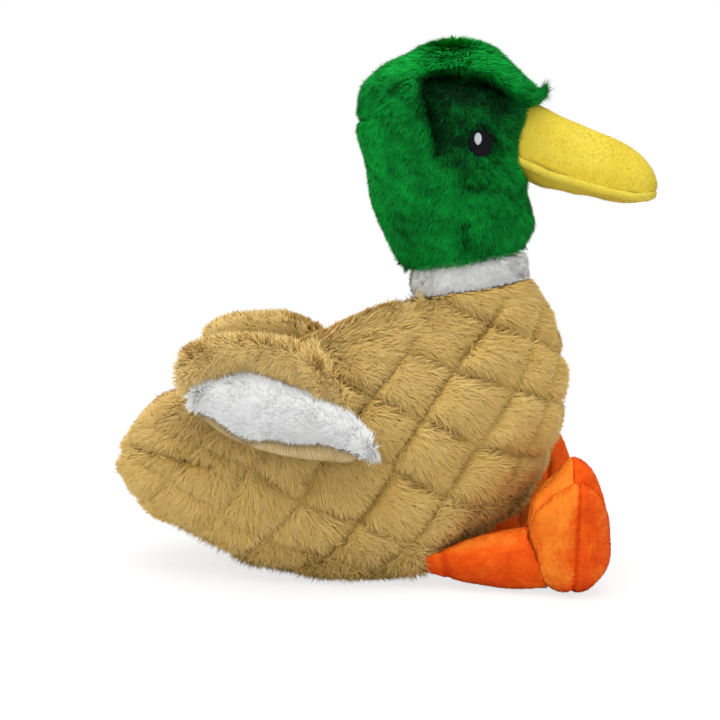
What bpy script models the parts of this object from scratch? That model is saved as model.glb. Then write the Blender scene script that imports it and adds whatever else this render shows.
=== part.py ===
"""A plush mallard duck that sits with its legs stretched forward, at its real size.

Metres, +Z up. The duck faces -Y and its left side is at +X. The floor is z = 0 and the origin lies
under the middle of the bounding box. Soft forms are lofts of closed rings: a table gives the two
ends of each ring in the side view, as shares of the form's length and height, and its half width.
"""
import math

import bmesh
import bpy
import numpy as np
from mathutils import Vector
from mathutils.bvhtree import BVHTree

MM = 0.001

# Clearances shared by all pieces
GAP = 0.3 * MM
FILL_GAP = 0.6 * MM
SEAT_GAP = 0.5 * MM
SIT_DEPTH = 0.5 * MM

# How far out the rings of a rounded end lie, from its rim to its middle
CAP_SHARES = (0.66, 0.33)

# Body
BODY_LENGTH = 212.5 * MM
BODY_HEIGHT = 139.5 * MM
BODY_WIDTH = 112.0 * MM
BODY_SKIN = 7.0 * MM
BODY_RINGS = 34
BODY_SEGMENTS = 42
BODY_INNER_RINGS = 11
BODY_FIRST_RINGS = (0.2, 2.2)
BODY_TIP_SHARES = (0.8, 0.2)
QUILT_DEPTH = 4.0 * MM
QUILT_LOW = 16.0 * MM
QUILT_FADE = 10.0 * MM
QUILT_ROW_PITCH = 25.2 * MM
QUILT_COLUMN_PITCH = 24.5 * MM
QUILT_ROW_TILT = math.radians(-24.0)
QUILT_COLUMN_TILT = math.radians(55.0)
QUILT_ROW_PHASE = 0.187
QUILT_COLUMN_PHASE = 0.224
QUILT_END_RINGS = (2.0, 1.5)

# Each row: forward and up shares of the ring's upper end, the same for its lower end, share of the
# half width, and how square the lower half of the ring is. The last ring is the neck seam.
BODY_SHARES = (
    (0.000, 0.385, 0.000, 0.385, 0.000, 2.2),
    (0.003, 0.428, 0.007, 0.345, 0.160, 2.2),
    (0.014, 0.460, 0.026, 0.312, 0.290, 2.2),
    (0.047, 0.526, 0.047, 0.264, 0.464, 2.3),
    (0.106, 0.600, 0.088, 0.199, 0.625, 2.4),
    (0.195, 0.654, 0.173, 0.143, 0.750, 2.5),
    (0.294, 0.718, 0.280, 0.087, 0.857, 2.6),
    (0.387, 0.786, 0.392, 0.032, 0.929, 2.7),
    (0.467, 0.846, 0.505, 0.000, 0.982, 2.8),
    (0.533, 0.890, 0.623, 0.000, 1.000, 2.8),
    (0.577, 0.907, 0.732, 0.043, 1.000, 2.7),
    (0.604, 0.915, 0.840, 0.158, 0.964, 2.5),
    (0.619, 0.920, 0.925, 0.290, 0.893, 2.3),
    (0.628, 0.922, 0.976, 0.432, 0.804, 2.2),
    (0.634, 0.924, 1.000, 0.637, 0.714, 2.1),
    (0.637, 0.925, 0.982, 0.778, 0.634, 2.0),
    (0.639, 0.926, 0.956, 0.897, 0.571, 2.0),
    (0.640, 0.927, 0.916, 0.998, 0.527, 2.0),
)

# Neck
NECK_HEIGHT = 12.0 * MM
NECK_BULGE = 0.8 * MM
NECK_SKIN = 6.0 * MM
NECK_DOME = 38.0 * MM
NECK_BULGE_SHARES = (0.35, 0.65)
NECK_SEGMENTS = 32
SOCKET_GAP = 0.8 * MM

# Head
HEAD_LENGTH = 87.5 * MM
HEAD_HEIGHT = 103.0 * MM
HEAD_WIDTH = 76.0 * MM
HEAD_SKIN = 6.0 * MM
HEAD_RINGS = 24
HEAD_SEGMENTS = 32
HEAD_INNER_RINGS = 9
HEAD_CROWN_RINGS = (0.35, 0.8)
HOLLOW_DEPTH = 6.5 * MM
HOLLOW_LENGTH = 27.0 * MM
HOLLOW_HEIGHT = 12.0 * MM

# Each row: forward and up shares of the ring's back end, then of its front end, seen from the
# middle of the neck band's top, share of the half width, and how square the front half is.
HEAD_SHARES = (
    (-0.238, -0.052, 0.311, 0.039, 0.711, 2.0),
    (-0.361, 0.017, 0.349, 0.107, 0.842, 2.0),
    (-0.435, 0.139, 0.365, 0.167, 0.921, 2.1),
    (-0.473, 0.245, 0.349, 0.252, 0.961, 2.1),
    (-0.506, 0.358, 0.317, 0.353, 0.987, 2.2),
    (-0.533, 0.473, 0.279, 0.450, 1.000, 2.2),
    (-0.560, 0.582, 0.299, 0.550, 1.000, 2.2),
    (-0.570, 0.686, 0.343, 0.650, 0.974, 2.2),
    (-0.549, 0.774, 0.429, 0.723, 0.921, 2.2),
    (-0.473, 0.855, 0.407, 0.783, 0.816, 2.2),
    (-0.355, 0.924, 0.311, 0.860, 0.658, 2.1),
    (-0.210, 0.975, 0.182, 0.943, 0.447, 2.0),
    (-0.017, 0.997, -0.017, 0.997, 0.000, 2.0),
)
HOLLOW_SHARES = (0.059, 0.700)

# Eyes, sewn on the head at a ring and a turn from the back of it
EYE_WIDTH = 12.0 * MM
EYE_HEIGHT = 13.8 * MM
EYE_THICKNESS = 1.2 * MM
EYE_RING_SHARE = 5.4
EYE_TURN = math.radians(118.7)
GLINT_WIDTH = 3.4 * MM
GLINT_HEIGHT = 5.4 * MM
GLINT_THICKNESS = 0.5 * MM
GLINT_BACK = 1.6 * MM
GLINT_UP = 1.8 * MM
PATCH_SEGMENTS = 20
PATCH_RING_SHARES = (0.45, 0.82, 1.0)
PATCH_RISE_SHARES = (1.0, 0.94, 0.35)

# Bill
BILL_LENGTH = 64.0 * MM
BILL_DEPTH = 45.0 * MM
BILL_WIDTH = 43.0 * MM
BILL_SKIN = 2.2 * MM
BILL_LIP = 1.6 * MM
BILL_RINGS = 13
BILL_SEGMENTS = 12
BILL_ROOT_SHARES = (0.299, 0.530)

# Each row: forward and up shares of the bill's top, of its edge and of its underside, seen from
# the bill's root on the head, and the share of the half width.
BILL_SHARES = (
    (0.114, 0.409, -0.011, -0.147, -0.042, -0.324, 0.79),
    (0.309, 0.287, 0.177, -0.213, 0.155, -0.458, 0.86),
    (0.442, 0.198, 0.333, -0.296, 0.348, -0.498, 0.93),
    (0.645, 0.087, 0.583, -0.407, 0.536, -0.540, 1.00),
    (0.817, -0.049, 0.770, -0.484, 0.723, -0.596, 0.977),
    (0.911, -0.202, 0.895, -0.507, 0.864, -0.618, 0.837),
    (0.981, -0.391, 0.970, -0.507, 0.950, -0.600, 0.490),
    (1.003, -0.458, 1.000, -0.502, 0.989, -0.551, 0.140),
)

# Wings, sewn on the body along a seam from its low front end to its high back end
WING_LENGTH = 93.0 * MM
WING_TILT = math.radians(157.3)
WING_SPREAD = math.radians(14.0)
WING_LINING = 1.5 * MM
WING_EDGE = 2.4 * MM
WING_LAYER_GAP = 0.8 * MM
WING_SPLIT_GAP = 0.9 * MM
WING_FUR_BULGE = 11.0 * MM
WING_STRIPE_BULGE = 6.0 * MM
WING_STATIONS = 13
WING_COLUMNS = 9
WING_SEAM_BLEND = 2.0
WING_LINING_SHARE = 0.96
WING_CROWN_SHARES = (0.12, 0.92)
WING_ROUNDNESS = 0.7
WING_SEAM_RINGS = (8.95, 7.5)
WING_SEAM_TURNS = (math.radians(90.0), math.radians(27.0))

# Each row: along and across shares of the lower edge, the same for the upper edge, and how far up
# the white patch goes. The wing's length runs from the seam's low end to the tip.
WING_SHARES = (
    (0.000, 0.000, 0.484, 0.301, 0.22),
    (0.043, -0.038, 0.511, 0.306, 0.46),
    (0.086, -0.075, 0.538, 0.314, 0.50),
    (0.204, -0.115, 0.591, 0.317, 0.58),
    (0.333, -0.156, 0.656, 0.310, 0.60),
    (0.473, -0.183, 0.720, 0.285, 0.64),
    (0.586, -0.194, 0.782, 0.258, 0.65),
    (0.699, -0.190, 0.860, 0.226, 0.56),
    (0.817, -0.161, 0.935, 0.172, 0.45),
    (0.903, -0.113, 0.984, 0.108, 0.30),
    (0.978, -0.040, 1.000, 0.040, 0.16),
)
STRIPE_LOW_SHARES = (0.10, 0.16)
STRIPE_END_SHARE = 0.90

# Legs, sewn flat to the underside at a ring and a turn from the top of it
LEG_RADIUS = 13.5 * MM
LEG_SKIN = 2.2 * MM
LEG_RINGS = 8
LEG_SEGMENTS = 18
LEG_INNER_RING = 2
LEG_FILL_RING = 3
HIP_RING_SHARE = 9.5
HIP_TURN = math.radians(142.4)
HIP_ROUND = 1.6 * MM

# Each row: place along the leg, then shares of the radius: half width and half thickness
LEG_SHARES = (
    (0.00, 0.66, 0.12),
    (0.15, 0.78, 0.38),
    (0.35, 0.90, 0.66),
    (0.60, 0.97, 0.88),
    (0.85, 1.00, 1.00),
    (1.00, 1.00, 1.00),
)

# Feet, upright, with the sole forward
FOOT_REACH = 62.3 * MM
FOOT_OUT = 7.0 * MM
FOOT_HEEL = 19.0 * MM
FOOT_TOE = 42.5 * MM
FOOT_BACK = 18.8 * MM
FOOT_FRONT = 17.5 * MM
FOOT_SEGMENTS = 40
TOE_CROWDING_SHARE = 0.45
ANKLE_GAP = 0.8 * MM

# Each row: turn from the top as a share of half a turn, reach from the foot's middle as a share of
# the long toe, and how far the web between two toes is drawn in.
FOOT_SHARES = (
    (0.000, 1.000, 0.00),
    (0.045, 0.960, 0.05),
    (0.095, 0.820, 0.45),
    (0.145, 0.890, 0.12),
    (0.195, 0.945, 0.00),
    (0.235, 0.890, 0.00),
    (0.300, 0.700, 0.00),
    (0.380, 0.560, 0.00),
    (0.500, 0.494, 0.00),
    (0.700, 0.462, 0.00),
    (1.000, 0.447, 0.00),
)
FOOT_RING_SHARES = (0.26, 0.48, 0.67, 0.83, 0.95)


def spline_rows(table, places):
    """Rows of a table read at fractional row numbers along a Catmull-Rom curve."""
    table = np.asarray(table, float)
    places = np.asarray(places, float)
    row = np.clip(np.floor(places).astype(int), 0, len(table) - 2)
    t = (places - row)[..., None]
    before = 2 * table[:1] - table[1:2]
    after = 2 * table[-1:] - table[-2:-1]
    padded = np.concatenate([before, table, after])
    a, b, c, d = (padded[row + k] for k in range(4))
    return 0.5 * (2 * b + (c - a) * t + (2 * a - 5 * b + 4 * c - d) * t**2 + (3 * b - a - 3 * c + d) * t**3)


def sized_rows(shares, start, length, height, half_width):
    """Ring table in metres: y and z of both ends, half width and squareness."""
    rows = np.array(shares, float)
    rows[:, (0, 2)] = start[0] - rows[:, (0, 2)] * length
    rows[:, (1, 3)] = start[1] + rows[:, (1, 3)] * height
    rows[:, 4] *= half_width
    return rows


def surface(rows, place, turn):
    """Point of a loft: cosine and sine powers of the turn run round each ring from its first end."""
    place, turn = np.broadcast_arrays(np.asarray(place, float), np.asarray(turn, float))
    ring = spline_rows(rows, place)
    middle = (ring[..., 0:2] + ring[..., 2:4]) / 2
    half = (ring[..., 0:2] - ring[..., 2:4]) / 2
    lift, side = np.cos(turn), np.sin(turn)
    power = 2 / np.where(lift < 0, ring[..., 5], 2.0)
    lift = np.sign(lift) * np.abs(lift) ** power
    side = np.sign(side) * np.abs(side) ** power
    y = middle[..., 0] + half[..., 0] * lift
    z = middle[..., 1] + half[..., 1] * lift
    return np.stack([ring[..., 4] * side, y, z], -1)


def unit(vectors):
    return vectors / np.maximum(np.linalg.norm(vectors, axis=-1, keepdims=True), 1e-12)


def outward(rows, place, turn):
    """Outward normal of a loft, from small steps along and round it."""
    step = 0.01
    along = surface(rows, place + step, turn) - surface(rows, place - step, turn)
    around = surface(rows, place, turn + step) - surface(rows, place, turn - step)
    normal = unit(np.cross(around, along))
    ring = spline_rows(rows, np.broadcast_to(place, normal.shape[:-1]))
    middle = (ring[..., 0:2] + ring[..., 2:4]) / 2
    point = surface(rows, place, turn)
    away = point - np.concatenate([np.zeros_like(middle[..., :1]), middle], -1)
    flip = np.where((normal * away).sum(-1, keepdims=True) < 0, -1.0, 1.0)
    return normal * flip


def even_places(rows, first, last, count):
    """Places along a loft whose rings lie evenly apart on its two ends and its side."""
    fine = np.linspace(first, last, 400)
    ring = spline_rows(rows, fine)
    middle = np.concatenate([(ring[:, 0:2] + ring[:, 2:4]) / 2, ring[:, 4:5]], 1)
    paths = (ring[:, 0:2], ring[:, 2:4], middle)
    steps = sum(np.linalg.norm(np.diff(path, axis=0), axis=1) for path in paths)
    walked = np.concatenate([[0.0], np.cumsum(steps)])
    return np.interp(np.linspace(0.0, walked[-1], count), walked, fine)


def ring_turns(count):
    return np.arange(count) * (2 * math.pi / count)


class Solid:
    """Collects the points and faces of one closed body."""

    def __init__(self):
        self.points = []
        self.faces = []

    def add(self, points):
        start = len(self.points)
        self.points.extend(np.asarray(points, float).reshape(-1, 3))
        return start

    def rings(self, grid):
        """Adds a stack of closed rings and returns the first point of each."""
        count, size = grid.shape[:2]
        start = self.add(grid)
        starts = [start + ring * size for ring in range(count)]
        for low, high in zip(starts, starts[1:]):
            self.join(low, high, size)
        return starts

    def join(self, low, high, size):
        for k in range(size):
            after = (k + 1) % size
            self.faces.append((low + k, low + after, high + after, high + k))

    def fan(self, ring, size, tip):
        middle = self.add([tip])
        for k in range(size):
            self.faces.append((ring + k, ring + (k + 1) % size, middle))

    def plate(self, outer, inner):
        """A curved plate between two grids of equal size, closed along its four edges."""
        rows, columns = outer.shape[:2]
        front, back = self.add(outer), self.add(inner)
        for i in range(rows - 1):
            for k in range(columns - 1):
                corner = i * columns + k
                quad = (corner, corner + 1, corner + columns + 1, corner + columns)
                self.faces.append(tuple(front + c for c in quad))
                self.faces.append(tuple(back + c for c in reversed(quad)))
        edge = [k for k in range(columns)]
        edge += [i * columns + columns - 1 for i in range(1, rows)]
        edge += [(rows - 1) * columns + k for k in range(columns - 2, -1, -1)]
        edge += [i * columns for i in range(rows - 2, 0, -1)]
        for a, b in zip(edge, edge[1:] + edge[:1]):
            self.faces.append((front + a, front + b, back + b, back + a))

    def mirrored(self):
        other = Solid()
        other.points = [point * (-1.0, 1.0, 1.0) for point in self.points]
        other.faces = list(self.faces)
        return other

    def tree(self):
        return BVHTree.FromPolygons([tuple(p) for p in self.points], self.faces)


def pouch(outer, outer_tip, inner, inner_tip):
    """A sewn cover: outer and inner rings that run from a closed tip to one open rim."""
    solid = Solid()
    size = outer.shape[1]
    outside, inside = solid.rings(outer), solid.rings(inner)
    solid.join(outside[-1], inside[-1], size)
    solid.fan(outside[0], size, outer_tip)
    solid.fan(inside[0], size, inner_tip)
    return solid


def plug(rings, first_tip, last_tip):
    """A filling: closed rings with a tip at each end."""
    solid = Solid()
    starts = solid.rings(rings)
    solid.fan(starts[0], rings.shape[1], first_tip)
    solid.fan(starts[-1], rings.shape[1], last_tip)
    return solid


def seat(tree, points, heading, gap):
    """Moves each point along the heading until it lies the gap short of a surface."""
    heading = Vector(heading).normalized()
    far = BODY_LENGTH
    seated = []
    for point in np.asarray(points, float).reshape(-1, 3):
        start = Vector(point) - heading * far
        hit = tree.ray_cast(start, heading)[0]
        seated.append(tuple(hit - heading * gap) if hit is not None else tuple(point))
    return np.array(seated).reshape(np.shape(points))


def clear_of(tree, points, gap):
    """Moves what lies inside a surface, or nearer than the gap, out to the gap."""
    below = tree.find_nearest(Vector((0.0, 0.0, -BODY_LENGTH)))
    sign = 1.0 if below[1].z < 0 else -1.0
    cleared = []
    for point in np.asarray(points, float).reshape(-1, 3):
        spot, normal = tree.find_nearest(Vector(point))[:2]
        depth = (Vector(point) - spot).dot(normal * sign)
        cleared.append(tuple(spot + normal * sign * gap) if depth < gap else tuple(point))
    return np.array(cleared).reshape(np.shape(points))


def body_rows():
    return sized_rows(BODY_SHARES, (0.0, -SIT_DEPTH), BODY_LENGTH, BODY_HEIGHT, BODY_WIDTH / 2)


def pressed_flat(points):
    """What the floor presses flat."""
    points = points.copy()
    points[..., 2] = np.maximum(points[..., 2], 0.0)
    return points


def quilting(rows, place, turn):
    """Share of the quilt's depth at a point. The lines are straight on the unrolled side panel."""
    ring = spline_rows(rows, place)
    middle = (ring[..., 0:2] + ring[..., 2:4]) / 2
    half = (ring[..., 0:2] - ring[..., 2:4]) / 2
    reach = np.linalg.norm(half, axis=-1)
    quarter = math.pi / 2 * np.sqrt((reach**2 + ring[..., 4] ** 2) / 2)
    folded = math.pi - np.abs(math.pi - turn)
    rise = quarter * (1 - folded / (math.pi / 2)) / np.maximum(reach, 1e-9)
    flat = middle + half * rise[..., None]
    forward, up = rows[0, 0] - flat[..., 0], flat[..., 1]
    lines = []
    for tilt, pitch, phase in (
        (QUILT_ROW_TILT, QUILT_ROW_PITCH, QUILT_ROW_PHASE),
        (QUILT_COLUMN_TILT, QUILT_COLUMN_PITCH, QUILT_COLUMN_PHASE),
    ):
        across = up * math.cos(tilt) - forward * math.sin(tilt)
        lines.append((0.5 + 0.5 * np.cos(2 * math.pi * (across / pitch - phase))) ** 2)
    tail_rings, neck_rings = QUILT_END_RINGS
    to_neck = len(rows) - neck_rings - place
    fade = np.clip(place / tail_rings, 0, 1) * np.clip(to_neck / neck_rings, 0, 1)
    above_hips = np.clip((surface(rows, place, turn)[..., 2] - QUILT_LOW) / QUILT_FADE, 0, 1)
    return np.maximum(lines[0], lines[1]) * fade * above_hips


def body_parts():
    rows = body_rows()
    last = len(rows) - 1
    turns = ring_turns(BODY_SEGMENTS)[None, :]
    places = even_places(rows, BODY_FIRST_RINGS[0], last, BODY_RINGS)[:, None]
    outer = surface(rows, places, turns)
    depth = QUILT_DEPTH * quilting(rows, places + 0 * turns, turns + 0 * places)
    outer = pressed_flat(outer - outward(rows, places, turns) * depth[..., None])
    tip = surface(rows, 0.0, 0.0)

    inner_places = even_places(rows, BODY_FIRST_RINGS[1], last, BODY_INNER_RINGS)[:, None]
    inner_surface = surface(rows, inner_places, turns)
    inner_normal = outward(rows, inner_places, turns)
    inner = inner_surface - inner_normal * BODY_SKIN
    inner[-1] = rim_inset(outer[-1], BODY_SKIN)
    inner_tip = tip + (inner[0].mean(0) - tip) * BODY_TIP_SHARES[0]
    skin = pouch(outer, tip, inner, inner_tip)

    filled = inner_surface - inner_normal * (BODY_SKIN + FILL_GAP)
    filled[-1] = rim_inset(outer[-1], BODY_SKIN + FILL_GAP)
    filled = filled[:, ::2]
    filled_tip = inner_tip + (inner[0].mean(0) - inner_tip) * BODY_TIP_SHARES[1]
    stuffing = plug(filled, filled_tip, filled[-1].mean(0))
    return rows, skin, stuffing, outside_tree(surface(rows, places, turns))


def outside_tree(grid):
    """Search tree of a form's outside alone."""
    outside = Solid()
    outside.rings(grid)
    return outside.tree()


def rim_inset(ring, depth):
    """The ring drawn in toward its middle by a depth, in its own plane."""
    middle = ring.mean(0)
    return ring - unit(ring - middle) * depth


def neck_frame(rows):
    """Middle of the neck seam, the neck's axis and the neck's radius."""
    ring = rows[-1]
    middle = np.array([0.0, (ring[0] + ring[2]) / 2, (ring[1] + ring[3]) / 2])
    front = unit(np.array([0.0, ring[2] - ring[0], ring[3] - ring[1]]))
    axis = np.cross(front, (1.0, 0.0, 0.0))
    axis = axis * np.sign(axis[2])
    return middle, axis, front, ring[4]


def turned(profile, middle, axis, front, segments):
    """Rings of a turned form from its (radius, height) profile about the neck's axis."""
    turns = ring_turns(segments)
    side = np.array([1.0, 0.0, 0.0])
    spokes = np.cos(turns)[:, None] * side + np.sin(turns)[:, None] * front
    return np.array([middle + axis * height + spokes * radius for radius, height in profile])


def neck_parts(rows):
    middle, axis, front, radius = neck_frame(rows)
    centre = NECK_HEIGHT - math.sqrt(NECK_DOME**2 - radius**2)
    hole = radius - NECK_SKIN
    swell = radius + NECK_BULGE
    top = centre + math.sqrt(NECK_DOME**2 - hole**2)
    profile = (
        (hole, GAP),
        (radius, GAP),
        (swell, NECK_HEIGHT * NECK_BULGE_SHARES[0]),
        (swell, NECK_HEIGHT * NECK_BULGE_SHARES[1]),
        (radius, NECK_HEIGHT),
        (hole, top),
    )
    grid = turned(profile, middle, axis, front, NECK_SEGMENTS)
    band = Solid()
    starts = band.rings(grid)
    band.join(starts[-1], starts[0], NECK_SEGMENTS)

    core = hole - FILL_GAP
    dome = [
        (core * share, centre + math.sqrt(NECK_DOME**2 - (core * share) ** 2))
        for share in (1.0, *CAP_SHARES)
    ]
    plug_rings = turned([(core, GAP)] + dome, middle, axis, front, NECK_SEGMENTS // 2)
    stuffing = plug(plug_rings, middle + axis * GAP, middle + axis * (centre + NECK_DOME))
    pivot = middle + axis * centre
    return band, stuffing, middle, axis, pivot, middle + axis * NECK_HEIGHT


def head_rows(neck_top):
    start = (neck_top[1], neck_top[2])
    return sized_rows(HEAD_SHARES, start, HEAD_LENGTH, HEAD_HEIGHT, HEAD_WIDTH / 2)


def hollowed(rows, neck_top, place, turn):
    """Head surface with the hollow that the brow overhangs on both sides."""
    points = surface(rows, place, turn)
    forward = neck_top[1] - points[..., 1] - HOLLOW_SHARES[0] * HEAD_LENGTH
    up = points[..., 2] - neck_top[2] - HOLLOW_SHARES[1] * HEAD_HEIGHT
    dent = np.exp(-((forward / HOLLOW_LENGTH) ** 4) - (up / HOLLOW_HEIGHT) ** 2) * np.sin(turn) ** 2
    return points - outward(rows, place, turn) * (HOLLOW_DEPTH * dent)[..., None]


def on_ball(points, centre, radius):
    return centre + unit(points - centre) * radius


def head_parts(neck_top, pivot, axis):
    rows = head_rows(neck_top)
    last = len(rows) - 1
    socket = NECK_DOME + SOCKET_GAP
    turns = ring_turns(HEAD_SEGMENTS)[None, :]
    places = even_places(rows, 0.0, last - HEAD_CROWN_RINGS[0], HEAD_RINGS)[::-1, None]
    outer = hollowed(rows, neck_top, places, turns)
    outer[-1] = on_ball(outer[-1], pivot, socket)
    tip = surface(rows, float(last), 0.0)

    inner_last = last - HEAD_CROWN_RINGS[1]
    inner_places = even_places(rows, 0.0, inner_last, HEAD_INNER_RINGS)[::-1, None]
    inner_surface = hollowed(rows, neck_top, inner_places, turns)
    inner_normal = outward(rows, inner_places, turns)
    inner = inner_surface - inner_normal * HEAD_SKIN
    inner[-1] = on_ball(rim_inset(outer[-1], HEAD_SKIN), pivot, socket)
    inner_tip = tip - np.array([0.0, 0.0, HEAD_SKIN])
    skin = pouch(outer, tip, inner, inner_tip)

    filled = inner_surface - inner_normal * (HEAD_SKIN + FILL_GAP)
    filled[-1] = on_ball(rim_inset(outer[-1], HEAD_SKIN + FILL_GAP), pivot, socket)
    filled = filled[:, ::2]
    edge = unit(filled[-1] - pivot)
    cap = [pivot + unit(edge * share + axis * (1 - share)) * socket for share in CAP_SHARES]
    filled = np.concatenate([filled, cap])
    stuffing = plug(filled, inner_tip - np.array([0.0, 0.0, FILL_GAP]), pivot + axis * socket)
    return rows, skin, stuffing


def patch(tree, spot, normal, width, height, base, thickness):
    """A sewn oval that follows the surface under it, from a base height to a thickness above it."""
    level = unit(np.cross((0.0, 0.0, 1.0), normal))
    upright = np.cross(normal, level)
    turns = ring_turns(PATCH_SEGMENTS)
    oval = np.cos(turns)[:, None] * level * width / 2 + np.sin(turns)[:, None] * upright * height / 2
    flat = np.array([spot + oval * share for share in PATCH_RING_SHARES])
    back = seat(tree, flat, -normal, base)
    centre = seat(tree, spot, -normal, base)
    rise = np.array(PATCH_RISE_SHARES)[:, None, None] * thickness
    solid = Solid()
    behind = solid.rings(back)
    ahead = solid.rings(back + normal * rise)
    solid.join(behind[-1], ahead[-1], PATCH_SEGMENTS)
    solid.fan(behind[0], PATCH_SEGMENTS, centre)
    solid.fan(ahead[0], PATCH_SEGMENTS, centre + normal * thickness)
    return solid


def eye_parts(rows, neck_top, tree):
    ring, turn = np.array(EYE_RING_SHARE), np.array(EYE_TURN)
    spot = hollowed(rows, neck_top, ring, turn)
    normal = outward(rows, ring, turn)
    eye = patch(tree, spot, normal, EYE_WIDTH, EYE_HEIGHT, GAP, EYE_THICKNESS)
    level = unit(np.cross((0.0, 0.0, 1.0), normal))
    back = level * np.sign(level[1]) * GLINT_BACK
    glint_spot = spot + back + np.cross(normal, level) * GLINT_UP
    base = GAP + EYE_THICKNESS + GAP
    glint = patch(tree, glint_spot, normal, GLINT_WIDTH, GLINT_HEIGHT, base, GLINT_THICKNESS)
    return eye, glint


def bill_section(row, angles, edge_lift, shrink_top, shrink_low, shrink_side, lip):
    """One cross-section of the bill, over the top for positive sines and under it for negative."""
    top, edge, low, half = row[0:2], row[2:4], row[4:6], row[6]
    up = np.sin(angles)[:, None]
    reach = np.where(up > 0, (top - edge) * shrink_top, (edge - low) * shrink_low)
    yz = edge + reach * up
    yz[:, 1] += edge_lift
    x = (half + lip) * shrink_side * np.cos(angles)
    return np.column_stack([x, yz])


def bill_parts(neck_top, tree):
    root = neck_top[1:] + np.array([-BILL_ROOT_SHARES[0] * HEAD_LENGTH, BILL_ROOT_SHARES[1] * HEAD_HEIGHT])
    table = np.array(BILL_SHARES, float)
    table[:, 0:6:2] = root[0] - table[:, 0:6:2] * BILL_LENGTH
    table[:, 1:6:2] = root[1] + table[:, 1:6:2] * BILL_DEPTH
    table[:, 6] *= BILL_WIDTH / 2
    rows = spline_rows(table, np.linspace(0.0, len(table) - 1, BILL_RINGS))
    over = np.linspace(0.0, math.pi, BILL_SEGMENTS + 1)
    heading = np.array([0.0, table[0, 2] - table[3, 2], table[0, 3] - table[3, 3]])

    def shrinks(row, depth):
        sizes = np.linalg.norm(row[0:2] - row[2:4]), np.linalg.norm(row[4:6] - row[2:4]), row[6]
        return [1 - min(depth, size / 2) / size for size in sizes]

    def seated(grid):
        grid = np.array(grid)
        grid[0] = seat(tree, grid[0], heading, SEAT_GAP)
        return grid

    def panel(angles, lift, lip):
        outer = seated([bill_section(row, angles, lift, 1, 1, 1, lip) for row in rows])
        inner = seated([bill_section(row, angles, lift, *shrinks(row, BILL_SKIN), 0.0) for row in rows])
        solid = Solid()
        solid.plate(outer, inner)
        return solid

    upper = panel(over, GAP / 2, 0.0)
    lower = panel(over + math.pi, -GAP / 2, BILL_LIP)
    around = ring_turns(BILL_SEGMENTS * 2)
    fill = [bill_section(row, around, 0.0, *shrinks(row, BILL_SKIN + FILL_GAP), 0.0) for row in rows[:-2]]
    middle = fill[0].mean(0)
    cap = [middle + (fill[0] - middle) * share for share in CAP_SHARES]
    fill = np.concatenate([seat(tree, cap[::-1] + fill[:1], heading, SEAT_GAP), fill[1:]])
    stuffing = plug(fill, seat(tree, middle, heading, SEAT_GAP), fill[-1].mean(0))
    return upper, lower, stuffing


def wing_frame(rows):
    """Middle of the wing's seam, its direction, the wing plane's normal and its seam points."""
    shares = np.linspace(0.0, 1.0, WING_COLUMNS + 1)
    places = WING_SEAM_RINGS[0] + (WING_SEAM_RINGS[1] - WING_SEAM_RINGS[0]) * shares
    turns = WING_SEAM_TURNS[0] + (WING_SEAM_TURNS[1] - WING_SEAM_TURNS[0]) * shares
    seam = surface(rows, places, turns) + outward(rows, places, turns) * SEAT_GAP
    ring, turn = np.mean(WING_SEAM_RINGS), np.mean(WING_SEAM_TURNS)
    normal = outward(rows, ring, turn)
    middle = surface(rows, ring, turn) + normal * SEAT_GAP
    run = seam[0] - seam[-1]
    run = unit(run - normal * (run @ normal))
    back = np.cross(run, normal)
    back = back * np.sign(back[1])
    spread = normal * math.cos(WING_SPREAD) - back * math.sin(WING_SPREAD)
    return middle, run, spread, seam, shares


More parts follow.
